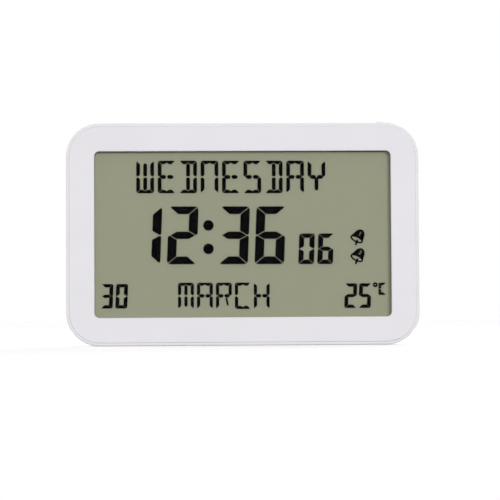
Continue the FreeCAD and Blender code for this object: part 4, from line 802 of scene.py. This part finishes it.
def masked_laminate():
    """Glass-epoxy laminate under solder mask: satin green, with raised tracks that show lighter."""
    material, tree, place = begin("solder_masked_laminate")
    turned = node(tree, "ShaderNodeMapping", {"Rotation": FACING_READER}, Vector=place)
    tracks = node(tree, "ShaderNodeTexBrick", {
        "Scale": per_metre(6), "Mortar Size": 0.03, "Color1": linear("#1F6B43"),
        "Color2": linear("#237247"), "Mortar": linear("#2F8F5B")}, Vector=turned)
    bump = node(tree, "ShaderNodeBump", {"Strength": 0.3, "Distance": mm(0.035)},
                Height=tracks.outputs["Fac"])
    return close(material, "ShaderNodeBsdfPrincipled", {"Roughness": 0.28}, Normal=bump,
                 Base_Color=tracks.outputs["Color"])


def sleeved_can(name, facing):
    """Printed shrink sleeve on a steel can: glossy bands of colour, and ends of bare metal. facing is
    1 where the cell's nub points to +X and -1 where it points to -X."""
    flat_end, nub_end = [corner.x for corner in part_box(name)][::facing]
    sleeve_start, sleeve_end = 0.035, 0.955    # shares of the length, from the flat end to the nub
    steel, white = linear("#C3C4C6"), linear("#E8E8E6")
    blue, orange = linear("#2C6E8F"), linear("#D98A2B")
    bare, covered = (1, 1, 1, 1), (0, 0, 0, 1)
    material, tree, place = begin(f"{name}_sleeve")
    along = node(tree, "ShaderNodeMapRange", {"From Min": flat_end, "From Max": nub_end},
                 Value=node(tree, "ShaderNodeSeparateXYZ", Vector=place).outputs["X"])
    colour = set_stops(node(tree, "ShaderNodeValToRGB", Fac=along), (0.0, steel), (sleeve_start, white),
                       (0.09, blue), (0.62, white), (0.66, orange), (sleeve_end, steel),
                       interpolation="CONSTANT")
    metallic = set_stops(node(tree, "ShaderNodeValToRGB", Fac=along), (0.0, bare), (sleeve_start, covered),
                         (sleeve_end, bare), interpolation="CONSTANT")
    return close(material, "ShaderNodeBsdfPrincipled", Base_Color=colour, Metallic=metallic,
                 Roughness=uneven(tree, place, 0.2, 0.35, 3))


def pad_printed_ink(colour):
    """Pad-printed two-part ink: a thin grey film, a little duller than the key under it."""
    material, tree, place = begin("pad_printed_ink")
    return close(material, "ShaderNodeBsdfPrincipled", Roughness=uneven(tree, place, 0.45, 0.6, 0.4),
                 Base_Color=varied(tree, place, colour, 0.06, 0.8))


def coat(material, *nodes):
    """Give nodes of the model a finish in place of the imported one."""
    for name in nodes:
        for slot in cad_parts[name].material_slots:
            slot.material = material


class DAYCLOCK_OT_housing(Operator):
    """Finish the housing, the stand, the door and the keys"""
    bl_idname = "day_clock.housing"
    bl_label = "Housing finishes"

    def execute(self, context):
        finish = context.scene.day_clock.finish
        # High-impact ABS, moulded white: the bezel's tool is polished finer, so it has a soft sheen.
        coat(moulded("bezel_abs", finish.case, 0.42, 0.35, 0.004), "front_bezel")
        # The same ABS from a coarser tool, with a fine matte grain.
        coat(moulded("case_abs", finish.case, 0.50, 0.45, 0.012), "rear_case", "table_foot",
             "battery_door", "battery_door_latch", "snooze_button")
        # The keys' ABS, a shade greyer and glossier than the case.
        coat(moulded("key_abs", finish.keys, 0.35, 0.30, 0.004), *(f"{key}_key" for key in SYMBOLS))
        # Zinc-plated steel screws, with the faint blue of the passivation.
        coat(metal("zinc_plated_steel", "#B9BCC2", 0.32, 0.15, (1, 1, 4)), "case_screws",
             "retainer_screws", "board_screws")
        return {"FINISHED"}


class DAYCLOCK_OT_display(Operator):
    """Finish the window, the display's layers, its retainer and its connector"""
    bl_idname = "day_clock.display"
    bl_label = "Display finishes"

    def execute(self, context):
        # Cast acrylic with a coating that takes most of the reflection away.
        coat(clear("coated_acrylic", "#FEFEFE", 1.13, 0.05), "display_window")
        # Iodine-dyed film, whose grey is counted in the reflector's colour: a faint soft sheen.
        coat(clear("polariser_film", "#FEFEFE", 1.02, 0.2), "front_polariser")
        # Soda-lime display glass: too thin for a tint, and nearly unseen against the films on it.
        coat(clear("display_glass", "#FEFFFE", 1.02, 0.05), "display_front_glass", "display_rear_glass")
        coat(pearl_film(context.scene.day_clock.finish.reflector), "rear_reflector")
        coat(cut_foam(), "display_gasket")
        coat(striped_silicone(), "rubber_connector")
        # Uncoloured ABS from an unpolished tool: a warm off-white, and quite matte.
        coat(moulded("natural_abs", "#D8D6D0", 0.6, 0.6, 0.02), "display_retainer")
        return {"FINISHED"}


class DAYCLOCK_OT_electronics(Operator):
    """Finish the main board, its parts, the switches and the sounder"""
    bl_idname = "day_clock.electronics"
    bl_label = "Electronics finishes"

    def execute(self, context):
        coat(masked_laminate(), "main_board")
        # Epoxy dropped over the bare chip: black, and glossy where it flowed.
        coat(moulded("black_epoxy", "#141416", 0.25, 1.5, 0.02), "driver_chip", "temperature_sensor")
        # Glass-filled nylon: black, and dull.
        coat(moulded("black_nylon", "#1B1C1E", 0.5, 0.3, 0.01), "switch_housings", "snooze_switch_housing")
        # Uncoloured acetal: a waxy pale grey.
        coat(moulded("switch_plunger_pom", "#C9C7C0", 0.35, 0.4, 0.005), "reset_plunger",
             "snooze_plunger", *(f"{key}_plunger" for key in SYMBOLS))
        # Deep-drawn steel, bright with marks along the can.
        coat(metal("drawn_steel_can", "#C6C7C9", 0.22, 0.2, (0.2, 1, 1)), "quartz_crystal")
        # Rolled brass disc with a silvered ceramic on it: yellow with rolling marks, then a pale matte.
        coat(metal("rolled_brass", "#C9A55A", 0.3, 0.2, (0.15, 1, 1)), "sounder_disc")
        coat(moulded("silvered_ceramic", "#D9D8D2", 0.4, 0.3, 0.006), "sounder_ceramic")
        return {"FINISHED"}


class DAYCLOCK_OT_power(Operator):
    """Finish the cells, the contacts and the springs"""
    bl_idname = "day_clock.power"
    bl_label = "Power finishes"

    def execute(self, context):
        # Nickel-plated spring steel: bright, and a little warm.
        coat(metal("nickel_plated_strip", "#CFCBC2", 0.2, 0.12, (1, 1, 3)), "positive_contact",
             "negative_contact", "linking_contact", "linking_spring", "negative_spring")
        for name, facing in (("upper_battery", 1), ("lower_battery", -1)):
            coat(sleeved_can(name, facing), name)
        return {"FINISHED"}


# ---- Key symbols ----
def lamp_ray(count):
    """One of a lamp's eight rays, clockwise from the top, in shares of the symbol's half height."""
    turn = Matrix.Rotation(-count * math.pi / 4, 2)
    top_ray = ((-0.09, 0.68), (0.09, 0.68), (0.09, 1), (-0.09, 1))
    return [tuple(turn @ Vector(corner)) for corner in top_ray]


# Each key's outlines and spots, as shares of its symbol's half height from the symbol's middle. A spot
# has its middle, its width and the width of its rim, which is 0 where it is filled.
SYMBOLS = {
    "alarm": ([[(-0.62, -0.45), (0.62, -0.45), (0.55, 0.35), (0.32, 0.78), (0, 0.92), (-0.32, 0.78),
                (-0.55, 0.35)], [(-0.95, -0.68), (0.95, -0.68), (0.78, -0.47), (-0.78, -0.47)]],
              [(0, -0.88, 0.3, 0)]),
    "mode": ([[(-0.1, 0), (0.1, 0), (0.1, 0.64), (-0.1, 0.64)],
              [(-0.48, -0.2), (0, -0.2), (0, 0), (-0.48, 0)]], [(0, 0, 2, 0.2)]),
    "up": ([[(-1, -0.72), (1, -0.72), (0, 0.88)]], []),
    "down": ([[(0, -0.88), (1, 0.72), (-1, 0.72)]], []),
    "light": ([lamp_ray(count) for count in range(8)], [(0, 0, 0.92, 0)]),
}


class DAYCLOCK_OT_symbols(Operator):
    """Print the symbols on the keys: alarm bell, clock face, up, down and lamp"""
    bl_idname = "day_clock.symbols"
    bl_label = "Key symbols"

    def execute(self, context):
        ink = context.scene.day_clock.ink
        half = ink.height / 2
        material = pad_printed_ink(context.scene.day_clock.finish.symbols)
        for key, (outlines, spots) in SYMBOLS.items():
            low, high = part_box(f"{key}_key")
            middle = (low + high) / 2
            # The film stands proud by its thickness and a quarter, and sinks a quarter into the key.
            film = {"y": high.y + ink.thickness / 2, "depth": ink.thickness * 1.5}
            pieces = [bar("ink", [(middle.x + x * half, middle.z + z * half) for x, z in outline], **film)
                      for outline in outlines]
            pieces += [disc("ink", middle.x + x * half, middle.z + z * half, width * half,
                            rim=rim * half, **film) for x, z, width, rim in spots]
            joined(f"{key}_symbol", pieces, f"{key}_button", material)
        return {"FINISHED"}


# ---- Studio ----
class DAYCLOCK_OT_studio(Operator):
    """Set up the floor, the backdrop light, the lamps and the camera"""
    bl_idname = "day_clock.studio"
    bl_label = "Studio"

    def execute(self, context):
        studio = context.scene.day_clock.studio
        self.floor()
        self.world(studio.ambient)
        # All the lamps are plain white. The key shines over the reader's right shoulder, and the fill
        # from close to the reader's eye. Both are wholly above the horizon, so the floor hides no part
        # of them from the bezel's foot. The rims light the sides, the panel the back, and the top sun
        # the upper faces.
        key = self.sun("key", (0.27, -1, 0.17), 1.45, 18)
        fill = self.sun("fill", (-0.04, -1, 0.035), 1.19, 3)
        key.visible_glossy = fill.visible_glossy = False   # no lamp is mirrored in the window
        self.sun("left_rim", (-1, 0.5, 0.2), 1.6, 40)
        self.sun("right_rim", (1, 0.7, 0.2), 0.85, 40)
        self.panel("back", (0.3, 0.85, 0.38), 4.5, 0.6)
        self.sun("top", (0.1, 0.15, 1), 0.25, 40)
        self.camera(studio)
        scene = context.scene
        scene.view_settings.view_transform = "Standard"
        scene.cycles.transparent_max_bounces = 32   # the display alone is eight clear faces deep
        return {"FINISHED"}

    def seen(self, tree):
        """1 for rays that show the background: from the camera, or by reflection or refraction."""
        path = node(tree, "ShaderNodeLightPath").outputs
        seen = path["Is Camera Ray"]
        for ray in ("Is Glossy Ray", "Is Transmission Ray"):
            seen = node(tree, "ShaderNodeMath", {"operation": "MAXIMUM"}, _0=seen, _1=path[ray])
        return seen

    def floor(self):
        """Pale painted floor that keeps the clock's shadow and shows white where nothing shades it."""
        paint, bounce = "#F2F2F2", "#5E5E5E"    # its colour as it is seen, and as it lights the clock
        glow = 0.45                             # what it adds to be white where nothing shades it
        floor = added("floor", bpy.ops.mesh.primitive_plane_add, size=6, location=(0, 0, 0))
        material, tree, place = begin("painted_floor")
        seen = self.seen(tree)
        colour = node(tree, "ShaderNodeMix", {"data_type": "RGBA", 6: linear(bounce)}, _0=seen,
                      _7=varied(tree, place, paint, 0.01, 90))
        matte = node(tree, "ShaderNodeBsdfDiffuse", Color=colour.outputs[2])
        lift = node(tree, "ShaderNodeMath", {"operation": "MULTIPLY", 1: glow}, _0=seen)
        lit = node(tree, "ShaderNodeEmission", {"Color": (1, 1, 1, 1)}, Strength=lift)
        floor.data.materials.append(close(material, "ShaderNodeAddShader", _0=matte, _1=lit))

    def world(self, ambient):
        """Even light all round, which shows as white."""
        world = bpy.data.worlds.new("studio")
        bpy.context.scene.world = world
        world.use_nodes = True
        tree = world.node_tree
        tree.nodes.clear()
        lift = node(tree, "ShaderNodeMapRange", {"To Min": ambient, "To Max": 1.0}, Value=self.seen(tree))
        sky = node(tree, "ShaderNodeBackground", {"Color": (1, 1, 1, 1)}, Strength=lift)
        node(tree, "ShaderNodeOutputWorld", Surface=sky)

    def lamp(self, name, kind, place, towards):
        """White lamp at a place, turned to shine towards a point."""
        lamp = placed(name, bpy.ops.object.light_add, type=kind, location=place)
        lamp.rotation_euler = (Vector(place) - towards).to_track_quat("Z", "Y").to_euler()
        return lamp

    def sun(self, name, source, strength, size):
        """Broad lamp that shines from a direction, with its apparent size in degrees."""
        lamp = self.lamp(name, "SUN", Vector(source).normalized(), Vector())
        lamp.data.energy, lamp.data.angle = strength, math.radians(size)
        return lamp

    def panel(self, name, place, power, size):
        """Square lamp that faces the clock's middle, with its power in watts."""
        lamp = self.lamp(name, "AREA", place, (Vector(CAD_BOX[0]) + Vector(CAD_BOX[1])) / 2)
        lamp.data.energy, lamp.data.size = power, size

    def camera(self, studio):
        """Camera a little to the left of the display's normal and a little below it."""
        view = Vector((math.sin(studio.yaw) * math.cos(studio.pitch),
                       math.cos(studio.yaw) * math.cos(studio.pitch), math.sin(studio.pitch)))
        camera = placed("Camera", bpy.ops.object.camera_add,
                        location=Vector(studio.aim) - view * studio.distance)
        turn = Matrix.Rotation(studio.roll, 4, view) @ view.to_track_quat("-Z", "Y").to_matrix().to_4x4()
        camera.matrix_world = Matrix.Translation(camera.location) @ turn
        camera.data.lens, camera.data.sensor_width = studio.lens, 36
        camera.data.clip_start, camera.data.clip_end = 0.01, 50
        bpy.context.scene.camera = camera


# ---- Panel and registration ----
GROUPS = (WeekdayRow, MonthRow, TimeRow, SecondsRow, DateRow, TemperatureRow, AlarmBells, KeyInk, Finish,
          Studio, DayClock)
STEPS = (DAYCLOCK_OT_housing, DAYCLOCK_OT_display, DAYCLOCK_OT_electronics, DAYCLOCK_OT_power,
         DAYCLOCK_OT_weekday, DAYCLOCK_OT_time, DAYCLOCK_OT_seconds, DAYCLOCK_OT_date, DAYCLOCK_OT_month,
         DAYCLOCK_OT_temperature, DAYCLOCK_OT_bells, DAYCLOCK_OT_symbols, DAYCLOCK_OT_studio)


class DAYCLOCK_PT_panel(Panel):
    """Day clock steps and sizes"""
    bl_label = "Day clock"
    bl_idname = "DAYCLOCK_PT_panel"
    bl_space_type = "VIEW_3D"
    bl_region_type = "UI"
    bl_category = "Day clock"

    def draw(self, context):
        layout = self.layout
        for step in STEPS:
            layout.operator(step.bl_idname)
        clock = context.scene.day_clock
        layout.prop(clock, "turn")
        for name in DayClock.__annotations__:
            group = getattr(clock, name)
            if isinstance(group, PropertyGroup):
                box = layout.box()
                box.label(text=name.capitalize())
                for size in type(group).__annotations__:
                    box.prop(group, size)


CLASSES = GROUPS + STEPS + (DAYCLOCK_PT_panel,)


def register():
    for item in CLASSES:
        bpy.utils.register_class(item)
    Scene.day_clock = PointerProperty(type=DayClock)


def unregister():
    del Scene.day_clock
    for item in reversed(CLASSES):
        bpy.utils.unregister_class(item)


def main():
    """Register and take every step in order."""
    register()
    for step in STEPS:
        if getattr(bpy.ops.day_clock, step.bl_idname.split(".")[1])() != {"FINISHED"}:
            raise RuntimeError(f"{step.bl_label} did not finish")


if __name__ == "__main__":
    main()
